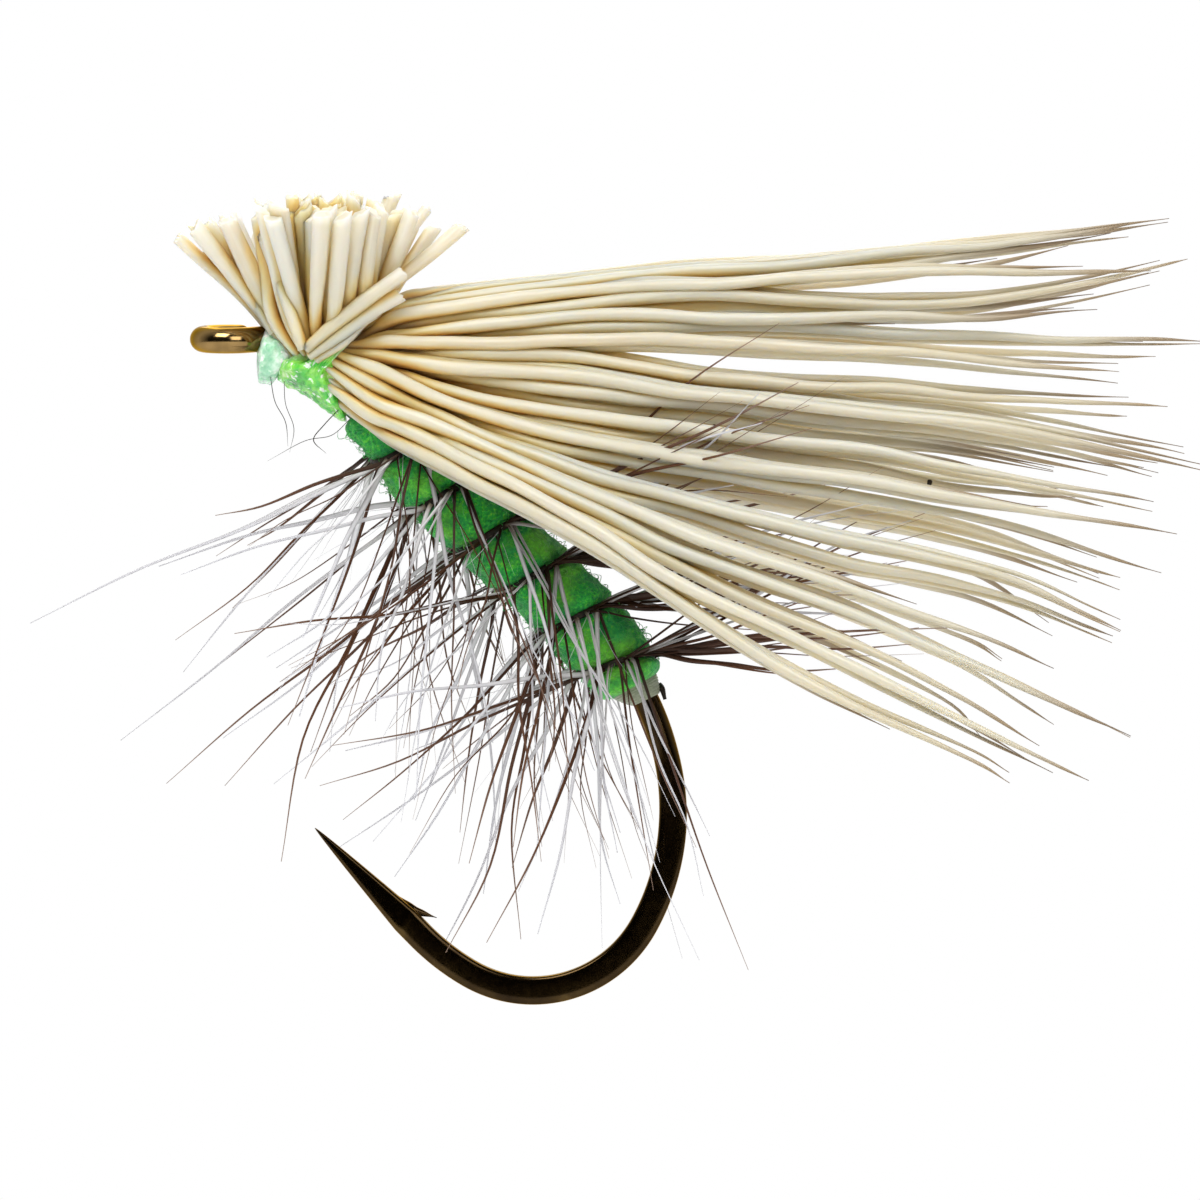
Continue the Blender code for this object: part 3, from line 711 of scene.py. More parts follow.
def make_spur(finish):
    """The hook's barb: a sliver cut up from the inner side of the point."""
    root, direction, up = on_wire(WIRE_LENGTH - POINT_LENGTH - 0.02 * MM)
    inner = up * -1
    path = [
        root + inner * 0.09 * MM + direction * 0.44 * MM,
        root + inner * 0.17 * MM + direction * 0.18 * MM,
        root + inner * 0.26 * MM - direction * 0.05 * MM,
        root + inner * 0.40 * MM - direction * (SPUR_LENGTH - 0.18 * MM),
    ]
    radii = [0.095 * MM, 0.090 * MM, 0.060 * MM, 0.006 * MM]
    spur = sheath("spur_tool", swept(path, radii, 6, SIDEWAYS, thick=0.8), finish)
    spur.hide_render = True
    spur.display_type = "WIRE"
    return spur


# ---------------------------------------------------------------- body and thread
def rib_angle(station):
    return math.radians(60) + (station - RIB_START) / RIB_PITCH * math.tau


def body_fullness(station):
    start, end = BODY_SPAN
    along = (station - start) / (end - start)
    return 0.71 + 0.29 * smooth_step(along / 0.3) - 0.10 * smooth_step((along - 0.86) / 0.14)


def body_sag(station):
    return BODY_SAG * smooth_step((body_fullness(station) - 0.69) / 0.31)


def body_radius(station, angle):
    turn = (rib_angle(station) - angle) / math.tau
    from_rib = abs(turn - round(turn)) * 2
    groove = RIB_DEPTH * (1 - smooth_step(from_rib / 0.42))
    return (BODY_RADIUS - groove) * body_fullness(station)


def make_body(finish):
    """The dubbing, lumpy and pulled in under the stem, with both ends rounded over."""
    start, end = BODY_SPAN

    def skin(share, angle):
        station = start + (end - start) * share
        close = min(share, 1 - share) * (end - start) / (0.22 * MM)
        ending = math.sqrt(max(1 - (1 - min(close, 1)) ** 2, 0))
        radius = body_radius(station, angle)
        at = shank_point(station, angle, radius)
        radius += lumps(at, (0.045, 0.42, 0), (0.022, 0.12, 5), (0.010, 0.05, 9))
        radius = UNDERWRAP_RADIUS + (radius - UNDERWRAP_RADIUS) * (0.25 + 0.75 * ending)
        return shank_point(station, angle, radius, body_sag(station))

    return turned("body_dubbing", finish, 120, 300, skin)


def make_fuzz(finish, count=1500):
    """Loose fibres of dubbing that stand out of the body or lie along it in short loops."""
    gathered = Strands()
    start, end = BODY_SPAN
    for i in range(count):
        station = start + (end - start) * (0.02 + 0.96 * scatter(i, 1))
        angle = math.tau * scatter(i, 2)
        root = shank_point(station, angle, body_radius(station, angle) - 0.01 * MM, body_sag(station))
        direction = on_wire(station)[1]
        out = outward(station, angle)
        lie = direction * (scatter(i, 3) - 0.5) + out.cross(direction) * (scatter(i, 4) - 0.5)
        lie.normalize()
        length = (0.07 + 0.17 * scatter(i, 5) ** 2) * MM
        rise = length * (0.25 + 0.5 * scatter(i, 6))
        path = [root, root + lie * length * 0.5 + out * rise, root + lie * length + out * rise * 0.4]
        radius = (0.005 + 0.004 * scatter(i, 7)) * MM
        rings = swept(path, [radius, radius, radius * 0.4], 3, out, sides=3)
        gathered.tube(rings, lambda _, k, i=i: (k, i, 0), lambda _, k, i=i: (scatter(i, 8), 0, 0))
    return gathered.piece("dubbing_fibres", finish)


def make_cement(finish):
    """The drop of head cement that hangs under the neck, uneven and lobed."""
    start, end = CEMENT_SPAN

    def skin(along, angle):
        station = start + (end - start) * along
        ending = math.sqrt(max(1 - (2 * along - 1) ** 8, 0.02))
        under = (1 - math.cos(angle)) / 2
        hang = min(1.25 * math.sin(math.pi * (0.10 + 0.80 * along)) ** 0.4, 1)
        radius = (CEMENT_RADIUS + CEMENT_SAG * under**1.8 * hang) * ending
        point = shank_point(station, angle, radius)
        point = point + Vector((-0.16 * MM * under * (1 - along), 0, 0))
        uneven = lumps(point, (0.055, 0.22, 6), (0.035, 0.09, 7))
        return point + (point - on_wire(station)[0]).normalized() * uneven

    return turned("cement_drop", finish, 72, 40, skin)


def make_collar(finish):
    """Turns of thread over shank and hair, sunk in resin that has run together under the belly."""

    def skin(share, angle):
        ending = math.sqrt(max(1 - (2 * share - 1) ** 6, 0.03))
        ripple = 0.010 * MM * math.sin(share * math.tau * 9)
        belly = smooth_step((-math.cos(angle) - 0.15) / 0.60)
        grown = (0.25 + 0.75 * belly) * COLLAR_THICKNESS * 1.15 * ending + PINCHED_RADIUS * 0.95
        grown += 0.19 * MM * belly * (1 - smooth_step(share / 0.8)) * ending
        point, centre = tie_point(share, angle, grown)
        uneven = lumps(point, (0.065, 0.24, 2), (0.035, 0.09, 4))
        swell = (ripple * (1 - 0.7 * belly) + uneven * belly) * ending
        return point + (point - centre).normalized() * swell

    return turned("collar_thread", finish, 120, 64, skin)


def tie_point(share, angle, grown):
    """(a point on the tie's ellipse, its centre), part of the way from the collar's front to its rear."""
    belly = smooth_step((-math.cos(angle) - 0.45) / 0.55)
    front = TIE_STATION - TIE_LENGTH / 2
    front += (COLLAR_BELLY[0] - front) * belly
    rear = TIE_STATION + TIE_LENGTH / 2
    rear += (COLLAR_BELLY[1] - rear) * belly
    centre, _, up = on_wire(front + (rear - front) * share)
    rise = TIE_LIFT + math.cos(angle) * (TIE_HALF_HEIGHT + grown)
    aside = math.sin(angle) * (TIE_HALF_WIDTH + grown)
    return centre + up * rise + SIDEWAYS * aside, centre + up * TIE_LIFT


def make_rear_wraps(finish, turns=7):
    """Pale thread laid in a few turns against the end of the body."""
    start, end = REAR_WRAP_SPAN

    def skin(along, angle):
        station = start + (end - start) * along
        strand = abs(math.sin(math.pi * along * turns)) ** 0.6
        radius = (REAR_WRAP_RADIUS - 0.014 * MM * (1 - strand)) * (1 - 0.40 * along**1.6)
        radius += 0.03 * MM * wobble(shank_point(station, angle, radius), 0.2 * MM, 11)
        return shank_point(station, angle, radius, body_sag(BODY_SPAN[1]) * (1 - along))

    return turned("rear_thread", finish, 72, turns * 10, skin)


def make_tag(finish):
    """The feather's cut stub, where it is tied off behind the body."""
    base = shank_point(8.72 * MM, 0.0, 0.30 * MM)
    path = [base, base + Vector((0.05, -0.06, -0.06)) * MM, base + Vector((0.10, -0.08, -0.24)) * MM]
    radii = [0.055 * MM, 0.05 * MM, 0.03 * MM]
    return sheath("feather_stub", swept(path, radii, 6, SIDEWAYS, thick=0.7, sides=14), finish)


# ---------------------------------------------------------------- feather
def stem_point(station):
    angle = rib_angle(station)
    over_body = body_radius(station, angle) + STEM_RADIUS * 0.55
    return shank_point(station, angle, over_body, body_sag(station))


def make_stem(finish):
    count = round(RIB_TURNS * 60)
    points = [stem_point(RIB_START + RIB_PITCH * RIB_TURNS * i / count) for i in range(count + 1)]
    frames = carried_frames(points, SIDEWAYS)
    rings = []
    for i, (point, frame_here) in enumerate(zip(points, frames)):
        radius = STEM_RADIUS * (1.12 - 0.3 * i / count)
        rings.append(section_ring(point, frame_here, radius, radius, 2.6, sides=12))
    return sheath("feather_stem", rings, finish)


def barb_aim(station, angle, key):
    """Which way a barb stands. The wing presses down those at the sides, and each strays a little."""
    direction = on_wire(station)[1]
    out = outward(station, angle)
    splay = math.radians(48) * (scatter(key, 1) + scatter(key, 2) - 1.05)
    pressed = smooth_step((math.cos(angle) + 0.85) / 0.9) * 0.85
    down = Vector((0.35 * (scatter(key, 3) - 0.42), 0.3 * (scatter(key, 4) - 0.5), -1))
    aim = out * (1 - 0.50 * pressed) + down * pressed - direction * math.sin(splay)
    return aim.normalized()


def make_barbs(finish):
    """The barbs, each a thin blade that tapers and droops. The wing leaves room for few above the shank."""
    gathered = Strands()
    for k in range(round(RIB_TURNS * BARBS_PER_TURN)):
        station = RIB_START + RIB_PITCH * (k + scatter(k, 9)) / BARBS_PER_TURN
        add_side_barb(gathered, station, (3.6 + 3.0 * scatter(k, 12) ** 0.8) * MM, k)
    for k, aim, reach in upper_barbs():
        station = RIB_START + RIB_PITCH * RIB_TURNS * (0.30 + 0.70 * scatter(k, 9))
        turn = math.floor((station - RIB_START) / RIB_PITCH)
        station = RIB_START + RIB_PITCH * (turn + 0.62 + 0.26 * scatter(k, 10))
        out = outward(station, rib_angle(station))
        add_barb(gathered, station, out, aim.normalized(), reach * MM, k)
    for k in CROSSING_BARBS:
        station = RIB_START + RIB_PITCH * (k % 6 + 0.62 + 0.10 * scatter(k, 9))
        aim = Vector((0.80 * scatter(k, 3) - 0.10, -0.34 - 0.10 * scatter(k, 4), -1)).normalized()
        add_barb(gathered, station, -SIDEWAYS, aim, (3.4 + 2.6 * scatter(k, 5)) * MM, k)
    for k in FINE_BARBS:
        station = RIB_START + RIB_PITCH * RIB_TURNS * scatter(k, 9)
        add_side_barb(gathered, station, (0.8 + 2.2 * scatter(k, 12)) * MM, k, fine=True)
    return gathered.piece("hackle_barbs", finish)


def add_side_barb(gathered, station, reach, key, fine=False):
    """A barb that stands out of the stem, if the wing leaves it room."""
    angle = rib_angle(station)
    if math.cos(angle) <= ROOM_LIMIT:
        aim = barb_aim(station, angle, key)
        add_barb(gathered, station, outward(station, angle), aim, reach, key, fine)


def upper_barbs():
    """(key, aim, reach in mm) of barbs that stand up through the wing or lie back along its underside."""
    for k in RISING_BARBS:
        aim = Vector((0.80, -0.62 + 0.26 * scatter(k, 3), 0.10 + 0.55 * scatter(k, 4)))
        yield k, aim, 3.6 + 2.6 * scatter(k, 5)
    for k in TRAILING_BARBS:
        aim = Vector((0.95, 0.6 * (scatter(k, 3) - 0.6), 0.35 * (scatter(k, 4) - 0.45)))
        yield k, aim, 2.6 + 2.8 * scatter(k, 5)


def add_barb(gathered, station, out, aim, reach, key, fine=False):
    """One barb: it leaves the stem outwards, turns to its aim, and strays in a shallow curve."""
    root = stem_point(station)
    stray = strayed(key, 13) * 0.16
    kink = strayed(key, 20) * 0.05
    points = [root]
    for step, share in enumerate((0.06, 0.2, 0.42, 0.7, 1.0)):
        turn = smooth_step(share / 0.2)
        heading = (out * (1 - turn) * 0.8 + aim).normalized()
        bend = stray * share * share + kink * (1 if step % 2 else -1) * share
        points.append(root + (heading + bend) * reach * share)
    pale_share = 0.15 if key in UPPER_KEYS else 0.42
    pale = 1.0 if scatter(key, 16) < pale_share or fine else 0.04 * scatter(key, 19)
    base = (0.007 if fine else 0.017 + 0.015 * scatter(key, 17) ** 1.5 + 0.008 * pale) * MM
    if key in THICKER_KEYS:
        base += 0.007 * MM
    radii = [base * share for share in (1.3, 1.15, 1, 0.80, 0.50, 0.16)]
    flat = Quaternion(aim, math.radians(100) * (scatter(key, 18) - 0.5)) @ out.cross(aim + out * 0.01)
    sides = 4 if fine else 8
    rings = swept(points, radii, 3 if fine else 6, flat.normalized(), 1.35, 0.55, sides)
    last = len(rings) - 1
    tint = scatter(key, 23)

    def shade(i, k):
        return (tint, pale, abs(math.cos((k + 0.5) * math.tau / sides)))

    gathered.tube(rings, lambda i, k: (k / sides, key, i / last), shade)


def make_whiskers(finish, sides=5):
    """A few loose fibres caught in the cement, hanging under the head."""
    gathered = Strands()
    for key, (*places, width) in enumerate(WHISKERS):
        points = [Vector(place) * MM for place in places]
        sizes = [width * MM] * (len(points) - 1) + [width * 0.3 * MM]
        rings = swept(points, sizes, 8, SIDEWAYS, sides=sides)
        last = len(rings) - 1

        def strand(i, k, key=key, last=last):
            return (k / sides, key, 0.2 + 0.6 * i / last)

        gathered.tube(rings, strand, lambda i, k: (0, 0.1, 0))
    return gathered.piece("head_whiskers", finish)


def make_speck(hairs, finish):
    """A speck of dark varnish on one hair of the wing, nearest the given place on the seen side."""
    target = Vector(SPECK_PLACE) * MM
    seen = [hair for hair in hairs if hair.key < len(WING_ROWS)]
    middle, size = min(
        ((c, size) for hair in seen for c, size in zip(hair.centres, hair.sizes)),
        key=lambda found: math.hypot(found[0].x - target.x, found[0].z - target.z),
    )
    centre = middle - SIDEWAYS * size

    def skin(share, angle):
        lift = math.cos(math.pi * share)
        around = math.sqrt(max(1 - lift * lift, 0.002))
        spot = Vector((math.cos(angle) * around, lift * 0.6, math.sin(angle) * around * 1.3))
        return centre + spot * SPECK_RADIUS * (1 + 0.35 * wobble(spot, 0.9, 2))

    return turned("varnish_speck", finish, 16, 12, skin)


# ---------------------------------------------------------------- hair
def packed(places, radii, inside=None, rounds=140):
    """Pushes 2-D places apart until hairs of these radii clear each other. inside() sets bounds."""
    places = np.array(places, float)
    wanted = np.add.outer(radii, radii) * 1.04
    np.fill_diagonal(wanted, 0)
    for _ in range(rounds):
        gap = places[:, None] - places[None]
        distance = np.maximum(np.hypot(gap[..., 0], gap[..., 1]), 1e-9)
        push = np.maximum(wanted - distance, 0) / distance
        places += 0.45 * (gap * push[..., None]).sum(1)
        if inside:
            places = inside(places)
    return places


def inside_tie(places):
    half = np.array((TIE_HALF_WIDTH, TIE_HALF_HEIGHT))
    middle = np.array((0, TIE_LIFT))
    from_middle = (places - middle) / half
    size = np.maximum(np.hypot(*from_middle.T), 1e-9)[:, None]
    places = np.where(size > 1, middle + from_middle / size * half, places)
    from_shank = np.maximum(np.hypot(*places.T), 1e-9)[:, None]
    nearest = UNDERWRAP_RADIUS + PINCHED_RADIUS * 1.15
    return np.where(from_shank < nearest, places / from_shank * nearest, places)


def hair_list():
    """(node, side, row, layer) of every hair. Its layer, from 0 to 1, is how far out it lies."""
    found = []
    for label, side, rows in (("left", -1, range(len(WING_ROWS))), ("right", 1, RIGHT_ROWS)):
        for i, row in enumerate(rows):
            layer = (i * 0.618 + (0.3 if side > 0 else 0.0)) % 1
            layer += (1 - layer) * 0.5 * smooth_step((lowness(row) - 0.7) / 0.2)
            found.append((f"hair_{label}_{i + 1:02d}", side, row, layer))
    return found


def lowness(row):
    return row / (len(WING_ROWS) - 1)


def row_curve(start, side, row, layer):
    """Places (x, y, z) in mm along a hair: out of the tie, flared behind it, then along its row."""
    *heights, tip_x, tip_z = WING_ROWS[row]
    low = lowness(row)
    raise_by = 0.07 * math.sin(row * 2.4) if side > 0 else 0.0
    shorten = 0.5 * layer if side > 0 else 0.0
    flare = FLARE_HEIGHTS[0] + (FLARE_HEIGHTS[1] - FLARE_HEIGHTS[0]) * low
    lean = math.tan(math.radians(WING_SPREAD_DEG * (0.26 + 0.74 * low**0.8) * (0.62 + 0.38 * layer)))
    xs = [start.x / MM, FLARE_X, *ROW_X, tip_x - shorten]
    zs = [start.z / MM, *(z + raise_by for z in (flare, *heights, tip_z))]
    settled = 7 - 4 * low**4
    ys = [start.y / MM]
    for x in xs[1:]:
        spread = side * (lean * (x - xs[0] + 1.2) + 0.45 * low**4)
        ys.append(ys[0] + (spread - ys[0]) * smooth_step((x - xs[0]) / settled))
    return xs, ys, zs


def curve_value(xs, values, x):
    """The value at x on a smooth curve through (xs, values), which runs on straight past its ends."""
    last = len(xs) - 1
    if x <= xs[0]:
        return values[0] + (values[1] - values[0]) / (xs[1] - xs[0]) * (x - xs[0])
    if x >= xs[last]:
        return values[last] + (values[last] - values[last - 1]) / (xs[last] - xs[last - 1]) * (x - xs[last])
    i = max(k for k in range(last) if xs[k] <= x)
    slopes = []
    for k in (i, i + 1):
        before, after = max(k - 1, 0), min(k + 1, last)
        slopes.append((values[after] - values[before]) / (xs[after] - xs[before]))
    gap = xs[i + 1] - xs[i]
    t = (x - xs[i]) / gap
    first, second = 2 * t**3 - 3 * t**2 + 1, t**3 - 2 * t**2 + t
    third, fourth = 3 * t**2 - 2 * t**3, t**3 - t**2
    return values[i] * first + slopes[0] * gap * second + values[i + 1] * third + slopes[1] * gap * fourth


def tie_places(hairs):
    guesses = []
    for _, side, row, layer in hairs:
        angle = side * math.radians(100 * lowness(row) ** 0.8 + 4)
        radius = (0.45 + 0.40 * layer) * MM
        guesses.append((math.sin(angle) * radius, math.cos(angle) * radius))
    return packed(guesses, np.full(len(hairs), PINCHED_RADIUS), inside_tie, rounds=400)


def tie_points(places, station):
    centre, _, up = on_wire(station)
    return [centre + SIDEWAYS * a + up * b for a, b in places]


def wing_radius(share):
    return TIP_RADIUS + (HAIR_RADIUS - TIP_RADIUS) * (1 - 0.15 * share) * (1 - share**4)


def wing_stations(hairs, rear):
    """For planes across the wing, each hair's (place, share of its length) once they are packed there."""
    drop = math.radians(WING_DROP_DEG)
    axis = Vector((math.cos(drop), 0, -math.sin(drop)))
    up = axis.cross(SIDEWAYS).normalized()
    origin = sum(rear, Vector()) / len(rear)
    curves = [row_curve(start, *hair[1:]) for start, hair in zip(rear, hairs)]
    stations = []
    for distance in (0.75, 1.2, 1.8, 2.7, 3.7, 4.9, 6.1, 7.4, 8.8, 10.2, 11.6, 12.8):
        flat, shares, radii = [], [], []
        for i, (xs, ys, zs) in enumerate(curves):
            z = origin.z / MM
            for _ in range(6):
                x = origin.x / MM + (distance + (z - origin.z / MM) * math.sin(drop)) / math.cos(drop)
                z = curve_value(xs, zs, x)
            offset = Vector((x, curve_value(xs, ys, x), z)) * MM - origin
            share = min((x - xs[0]) / (xs[-1] - xs[0]), 1)
            phase = distance * MM / CRIMP_LENGTH * math.tau + 1.9 * math.sin(i * GOLDEN_ANGLE)
            crimp = CRIMP_HEIGHT * min(distance / 3, 1) * (1 - share) * math.sin(phase)
            flat.append((offset.dot(SIDEWAYS) + 0.5 * crimp, offset.dot(up) + crimp))
            shares.append(share)
            radii.append(wing_radius(share) if share < 1 else 0)
        flat = packed(flat, np.array(radii))
        plane = origin + axis * distance * MM
        stations.append([(plane + SIDEWAYS * a + up * b, share) for (a, b), share in zip(flat, shares)])
    tips = [Vector((xs[-1], ys[-1], zs[-1])) * MM for xs, ys, zs in curves]
    return stations, tips


def butt_stations(places, front):
    middle = sum(front, Vector()) / len(front)
    hole = UNDERWRAP_RADIUS + PINCHED_RADIUS
    radii = np.full(len(front), BUTT_RADIUS * 0.90)
    found = []
    for height, flare, edge in HEAD_FLARE:
        flat = []
        for i, (a, b) in enumerate(places):
            gap = math.sqrt(max(hole**2 - b**2, 0))
            aside = math.copysign(max(abs(a) - gap, 0) / (TIE_HALF_WIDTH - gap), a)
            aft = (b - TIE_LIFT) / TIE_HALF_HEIGHT + 0.12 * math.sin(i * GOLDEN_ANGLE)
            outermost = aside**2 + aft**2
            flat.append((np.array((aft, aside)) * (flare + edge * outermost)) * MM)
        flat = packed(flat, radii)
        found.append([middle + Vector((x, y, height * MM)) for x, y in flat])
    return found


def cut_end(low, high, trim=0.0):
    """Where the scissors cut a hair that passes these two places."""
    centre = on_wire(TIE_STATION)[0]
    aim = (high - low).normalized()
    end = high.copy()
    for _ in range(12):
        dome = HEAD_HEIGHT - trim - HEAD_DOME * ((end.x - centre.x) ** 2 + end.y**2)
        end = high + aim * max((dome - high.z) / max(aim.z, 0.35), 0.2 * MM)
    return end


def hair_paths():
    """(node, points from the cut end to the tip, radii there) of each hair."""
    hairs = hair_list()
    places = tie_places(hairs)
    front = tie_points(places, TIE_STATION - TIE_LENGTH / 2)
    rear = tie_points(places, TIE_STATION + TIE_LENGTH / 2)
    low, high = butt_stations(places, front)
    stations, tips = wing_stations(hairs, rear)
    found = []
    for i, (node, *_) in enumerate(hairs):
        trim = 0.16 * MM * (scatter(i, 20) - 0.4)
        points = [cut_end(low[i], high[i], trim), high[i], low[i], front[i], rear[i]]
        radii = [BUTT_RADIUS * 1.06, BUTT_RADIUS, BUTT_RADIUS * 0.82, PINCHED_RADIUS, PINCHED_RADIUS]
        for row in stations:
            place, share = row[i]
            if 0.03 < share < 0.97:
                points.append(place)
                radii.append(wing_radius(share))
        points.append(tips[i])
        radii.append(TIP_RADIUS * 0.4)
        found.append((node, points, radii))
    return found


def companions(paths):
    """Finer hairs that lie along each hair of the wing, in a lock with it, and leave it near the tip."""
    found = []
    for i, (node, points, radii) in enumerate(paths):
        side = -1 if "left" in node else 1
        if side > 0 and i % 2:
            continue
        for twin in range(2 if i % 3 == 1 and side < 0 else 1):
            key = i * 2 + twin
            shaft, sizes = points[4:], radii[4:]
            short = int(2.7 * scatter(key, 30))
            shaft, sizes = shaft[: len(shaft) - short], sizes[: len(sizes) - short]
            rise = (0.05 + 0.06 * scatter(key, 31)) * (1 if (twin + i) % 2 else -1)
            inward = -side * (0.10 + 0.16 * scatter(key, 32))
            splay = 0.26 * (scatter(key, 33) - 0.5)
            last = len(shaft) - 1
            moved = []
            for j, point in enumerate(shaft):
                settled = min(j / 3, 1)
                leaving = max(j / last - 0.7, 0) / 0.3
                step = Vector((0, inward * settled, rise * settled + splay * leaving))
                moved.append(point + step * MM)
            thin = 0.72 + 0.16 * scatter(key, 34)
            sizes = [size * thin for size in sizes]
            sizes[-2] *= 0.75
            sizes[-1] = TIP_RADIUS * 0.4
            found.append((moved, sizes))
    return found


def extra_butts(paths):
    """More cut ends that stand between those of the CAD, some longer and some bent aside."""
    found = []
    for i, (first, second) in enumerate(zip(paths, paths[1:])):
        if first[0][:7] != second[0][:7] or i % 3 == 2:
            continue
        share = 0.3 + 0.4 * scatter(i, 60)
        stray = Vector((scatter(i, 61) - 0.5, scatter(i, 62) - 0.5, scatter(i, 63) - 0.35)) * 0.42 * MM
        ends = [a.lerp(b, share) for a, b in zip(first[1][:4], second[1][:4])]
        ends[0] += stray
        ends[1] += stray * 0.5
        width = BUTT_RADIUS * (0.82 + 0.3 * scatter(i, 64))
        found.append((ends, [width * 1.05, width, width * 0.8, PINCHED_RADIUS]))
    for *places, width in STRAY_BUTTS:
        shaft = [Vector(place) * MM for place in places]
        found.append((shaft, [width * MM, width * MM, width * 0.95 * MM, width * 0.75 * MM]))
    return found


class Hair:
    """One hair's rings, made ready so that hairs can be compared with each other before they are drawn."""

    def __init__(self, points, radii, key, tint, shaft_of, sides=12, per_span=6, node=None):
        self.node, self.key, self.tint = node, key, tint
        smooth, sizes = smooth_path(points, radii, per_span)
        ends = len(smooth) - 1
        self.sizes, self.rings, self.centres = [], [], []
        for i, point in enumerate(smooth):
            share = i / ends
            free = smooth_step(abs(share - 0.27) / 0.15) if shaft_of == "whole" else 0.5
            sway = Vector((0, wobble(point, 2.0 * MM, key), wobble(point, 1.7 * MM, key + 40)))
            self.centres.append(point + sway * 0.06 * MM * free)
        frames = carried_frames(self.centres, SIDEWAYS)
        slant = (scatter(key, 41) - 0.5) * 2.0
        for i, (point, (side, up), size) in enumerate(zip(self.centres, frames, sizes)):
            size *= 1 + 0.07 * wobble(point, 0.8 * MM, key + 80)
            flat = 1 + (0.34 if shaft_of == "butt" or i < 5 else 0.16) * wobble(point, 2.0 * MM, key + 120)
            ring = section_ring(point, (side, up), size * flat, size / flat, 2, sides)
            if i == 0:
                along = (self.centres[1] - self.centres[0]).normalized()
                ring = [
                    p + along * ((p - point).dot(up) * slant + 0.075 * MM * scatter(self.key, k, 5))
                    for k, p in enumerate(ring)
                ]
            self.rings.append(ring)
            self.sizes.append(size)
        self.start, self.span = SHAFT_SHARES[shaft_of]

    def draw(self, gathered, painted_shade):
        first = self.rings[0]
        middle = self.centres[0]
        along = (self.centres[1] - middle).normalized()
        pith = [middle + (p - middle) * 0.55 + along * 0.008 * MM for p in first]
        lip = [middle + (p - middle) * 0.93 - along * 0.004 * MM for p in first]
        rings = [pith, lip, *self.rings]
        count = len(self.rings) - 1
        sides = len(first)

        def strand(i, k):
            return (k / sides, self.key, self.start + self.span * max(i - 2, 0) / count)

        def shade(i, k):
            # The painted shade is kept a little lighter on the butts.
            butt_shade_share = 0.95 if strand(i, k)[2] < 0.19 else 1.0
            return (self.tint, 1.0 if i == 0 else 0.0, painted_shade[max(i - 2, 0)][k] * butt_shade_share)

        gathered.tube(rings, strand, shade)


def painted_shade_from_neighbours(hairs):
    """For each hair, how far its neighbours shut in every point of its rings, from 0 to 1: the painted
    shade that darkens the hair's colour there.
    """
    owners = [(h, i) for h, hair in enumerate(hairs) for i in range(len(hair.centres))]
    tree = KDTree(len(owners))
    for index, (h, i) in enumerate(owners):
        tree.insert(hairs[h].centres[i], index)
    tree.balance()
    found = []
    for h, hair in enumerate(hairs):
        rows = []
        for i, centre in enumerate(hair.centres):
            offsets, weights = [], []
            for place, index, distance in tree.find_range(centre, PAINTED_SHADE_REACH):
                other, j = owners[index]
                if other != h and distance > 1e-6:
                    offsets.append((place - centre) / distance)
                    weights.append((hairs[other].sizes[j] / max(distance, hair.sizes[i])) ** 1.5)
            if not offsets:
                rows.append([0.0] * len(hair.rings[i]))
                continue
            outward = np.array([(p - centre).normalized() for p in hair.rings[i]])
            facing = np.maximum(outward @ np.array(offsets).T, 0) @ np.array(weights)
            rows.append(list(1 - np.exp(-0.45 * facing)))
        found.append(rows)
    return found


def make_wing(finish, dark):
    paths = hair_paths()
    hairs = []
    for i, (node, points, radii) in enumerate(paths):
        hairs.append(Hair(points, radii, i, scatter(i, 50), "whole", node=node))
    for i, (points, radii) in enumerate(companions(paths)):
        hairs.append(Hair(points, radii, i + COMPANION_KEYS, scatter(i, 51), "wing", sides=9))
    for i, (points, radii) in enumerate(extra_butts(paths)):
        hairs.append(Hair(points, radii, i + BUTT_KEYS, scatter(i, 52), "butt", per_span=8))
    keep(make_speck(hairs, dark), "hackle_barb")
    painted_shades = painted_shade_from_neighbours(hairs)
    loose = {}
    for hair, painted_shade in zip(hairs, painted_shades):
        if hair.node:
            gathered = Strands()
            hair.draw(gathered, painted_shade)
            keep(gathered.piece("wing_" + hair.node, finish), "elk_hair", hair.node)
        else:
            name = "inner_hairs" if hair.key < BUTT_KEYS else "tuft_butts"
            hair.draw(loose.setdefault(name, Strands()), painted_shade)
    for name, gathered in loose.items():
        keep(gathered.piece(name, finish), "elk_hair")


# ---------------------------------------------------------------- stage
def add_area(name, place, target, size, power):
    light = bpy.data.lights.new(name, "AREA")
    light.shape = "RECTANGLE"
    light.size, light.size_y = size
    light.energy = power
    made = bpy.data.objects.new(name, light)
    made.location = place
    made.rotation_euler = (target - Vector(place)).to_track_quat("-Z", "Y").to_euler()
    bpy.context.scene.collection.objects.link(made)


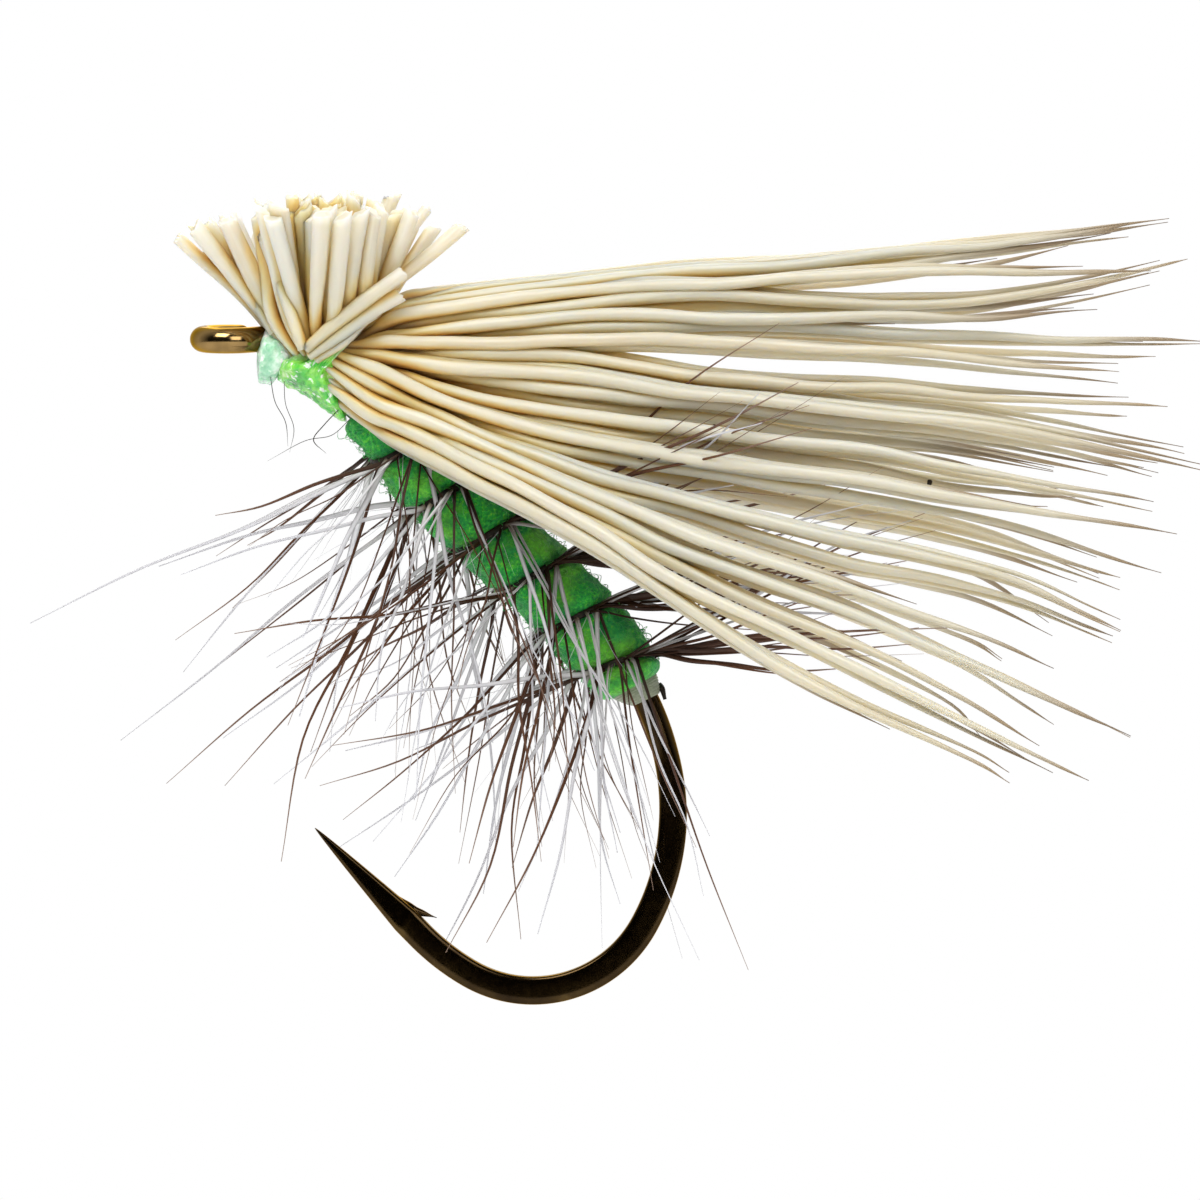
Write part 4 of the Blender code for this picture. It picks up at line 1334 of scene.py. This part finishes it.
def make_world():
    """Plain white behind the object, and for reflections a bright room with a dark side by the camera."""
    world = bpy.data.worlds.new("studio")
    bpy.context.scene.world = world
    world.use_nodes = True
    tree = world.node_tree
    tree.nodes.clear()
    output = tree.nodes.new("ShaderNodeOutputWorld")
    mix = tree.nodes.new("ShaderNodeMixShader")
    path = tree.nodes.new("ShaderNodeLightPath")
    backdrop = tree.nodes.new("ShaderNodeBackground")
    backdrop.inputs["Color"].default_value = (1, 1, 1, 1)
    backdrop.inputs["Strength"].default_value = 1.0
    room = tree.nodes.new("ShaderNodeBackground")
    room.inputs["Strength"].default_value = 1.0
    where = tree.nodes.new("ShaderNodeTexCoord")
    split = tree.nodes.new("ShaderNodeSeparateXYZ")
    ramp = tree.nodes.new("ShaderNodeValToRGB")
    shift = tree.nodes.new("ShaderNodeMath")
    shift.operation = "MULTIPLY_ADD"
    shift.inputs[1].default_value = 0.5
    shift.inputs[2].default_value = 0.5
    for element, (position, level) in zip(ramp.color_ramp.elements, ((0.24, 0.015), (0.56, 0.78))):
        element.position = position
        element.color = (level, level, level, 1)
    for source, target in (
        (where.outputs["Generated"], split.inputs[0]),
        (split.outputs[1], shift.inputs[0]),
        (shift.outputs[0], ramp.inputs[0]),
        (ramp.outputs[0], room.inputs["Color"]),
        (path.outputs["Is Camera Ray"], mix.inputs[0]),
        (room.outputs[0], mix.inputs[1]),
        (backdrop.outputs[0], mix.inputs[2]),
        (mix.outputs[0], output.inputs[0]),
    ):
        tree.links.new(source, target)


def make_floor():
    bm = bmesh.new()
    bmesh.ops.create_circle(bm, cap_ends=True, segments=96, radius=0.16)
    mesh = bpy.data.meshes.new("floor")
    bm.to_mesh(mesh)
    bm.free()
    n = Nodes("pale_floor")
    n.set(Roughness=0.8)
    n.colour(n.ramp(n.noise(n.place(), 0.3, 2), [(0.3, (0.90, 0.90, 0.90)), (0.7, (0.93, 0.93, 0.93))]))
    mesh.materials.append(n.material)
    floor = bpy.data.objects.new("floor", mesh)
    floor.location = (0.006, 0, -0.030)
    bpy.context.scene.collection.objects.link(floor)


def make_camera():
    lens = bpy.data.cameras.new("camera")
    lens.lens = 200
    lens.sensor_width = 36
    lens.clip_start = 0.005
    lens.clip_end = 10
    camera = bpy.data.objects.new("camera", lens)
    target = Vector((6.2, 0, -4.35)) * MM
    camera.location = target - SIDEWAYS * (20 * MM * lens.lens / lens.sensor_width)
    camera.rotation_euler = (math.radians(90), 0, 0)
    bpy.context.scene.collection.objects.link(camera)
    bpy.context.scene.camera = camera


def make_lights():
    middle = Vector((6, 0, -4)) * MM
    add_area("key", (-0.04, -0.11, 0.13), middle, (0.09, 0.09), 0.27)
    add_area("fill", (0.07, -0.13, 0.05), middle, (0.08, 0.08), 0.085)
    add_area("back", (0.03, 0.12, 0.10), middle, (0.12, 0.12), 0.10)
    add_area("under", (-0.03, -0.10, -0.10), middle, (0.07, 0.012), 0.085)


# ---------------------------------------------------------------- assembly
def build():
    hair = hair_finish()
    steel = steel_finish()
    barb = barb_finish()
    stem = stem_finish()
    dubbing = dubbing_finish()
    collar = resin_finish(
        "thread_resin",
        [
            (0.30, (0.02, 0.26, 0.02)),
            (0.44, (0.06, 0.56, 0.04)),
            (0.58, (0.26, 0.76, 0.08)),
            (0.72, (0.72, 0.92, 0.50)),
        ],
        3.4,
        top=(0.66, 0.62, 0.40),
    )
    cement = resin_finish(
        "head_cement",
        [(0.30, (0.16, 0.50, 0.27)), (0.50, (0.38, 0.70, 0.48)), (0.70, (0.80, 0.92, 0.82))],
        4.0,
        weight=0.5,
    )
    pale = thread_finish("pale_thread", (0.34, 0.37, 0.26), (0.11, 0.14, 0.07))
    base = thread_finish("tying_thread", (0.10, 0.42, 0.06), (0.03, 0.16, 0.02))
    keep(make_hook(steel), "bronzed_steel", "hook")
    keep(make_body(dubbing), "green_dubbing", "dubbed_body")
    keep(make_fuzz(dubbing), "green_dubbing")
    keep(make_cement(cement), "head_cement", "head_cement")
    keep(make_collar(collar), "tying_thread", "thread_collar")
    keep(make_rear_wraps(pale), "pale_thread", "rear_thread_wraps")
    keep(make_tag(stem), "hackle_barb")
    keep(make_stem(stem), "hackle_barb", "hackle_feather")
    keep(make_barbs(barb), "hackle_barb", "hackle_feather")
    keep(make_whiskers(stem), "hackle_barb")
    make_wing(hair, stem)
    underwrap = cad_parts["thread_underwrap"]
    underwrap.data.materials.clear()
    underwrap.data.materials.append(base)


make_camera()
make_world()
make_lights()
make_floor()
build()
bpy.context.scene.view_settings.view_transform = "Standard"
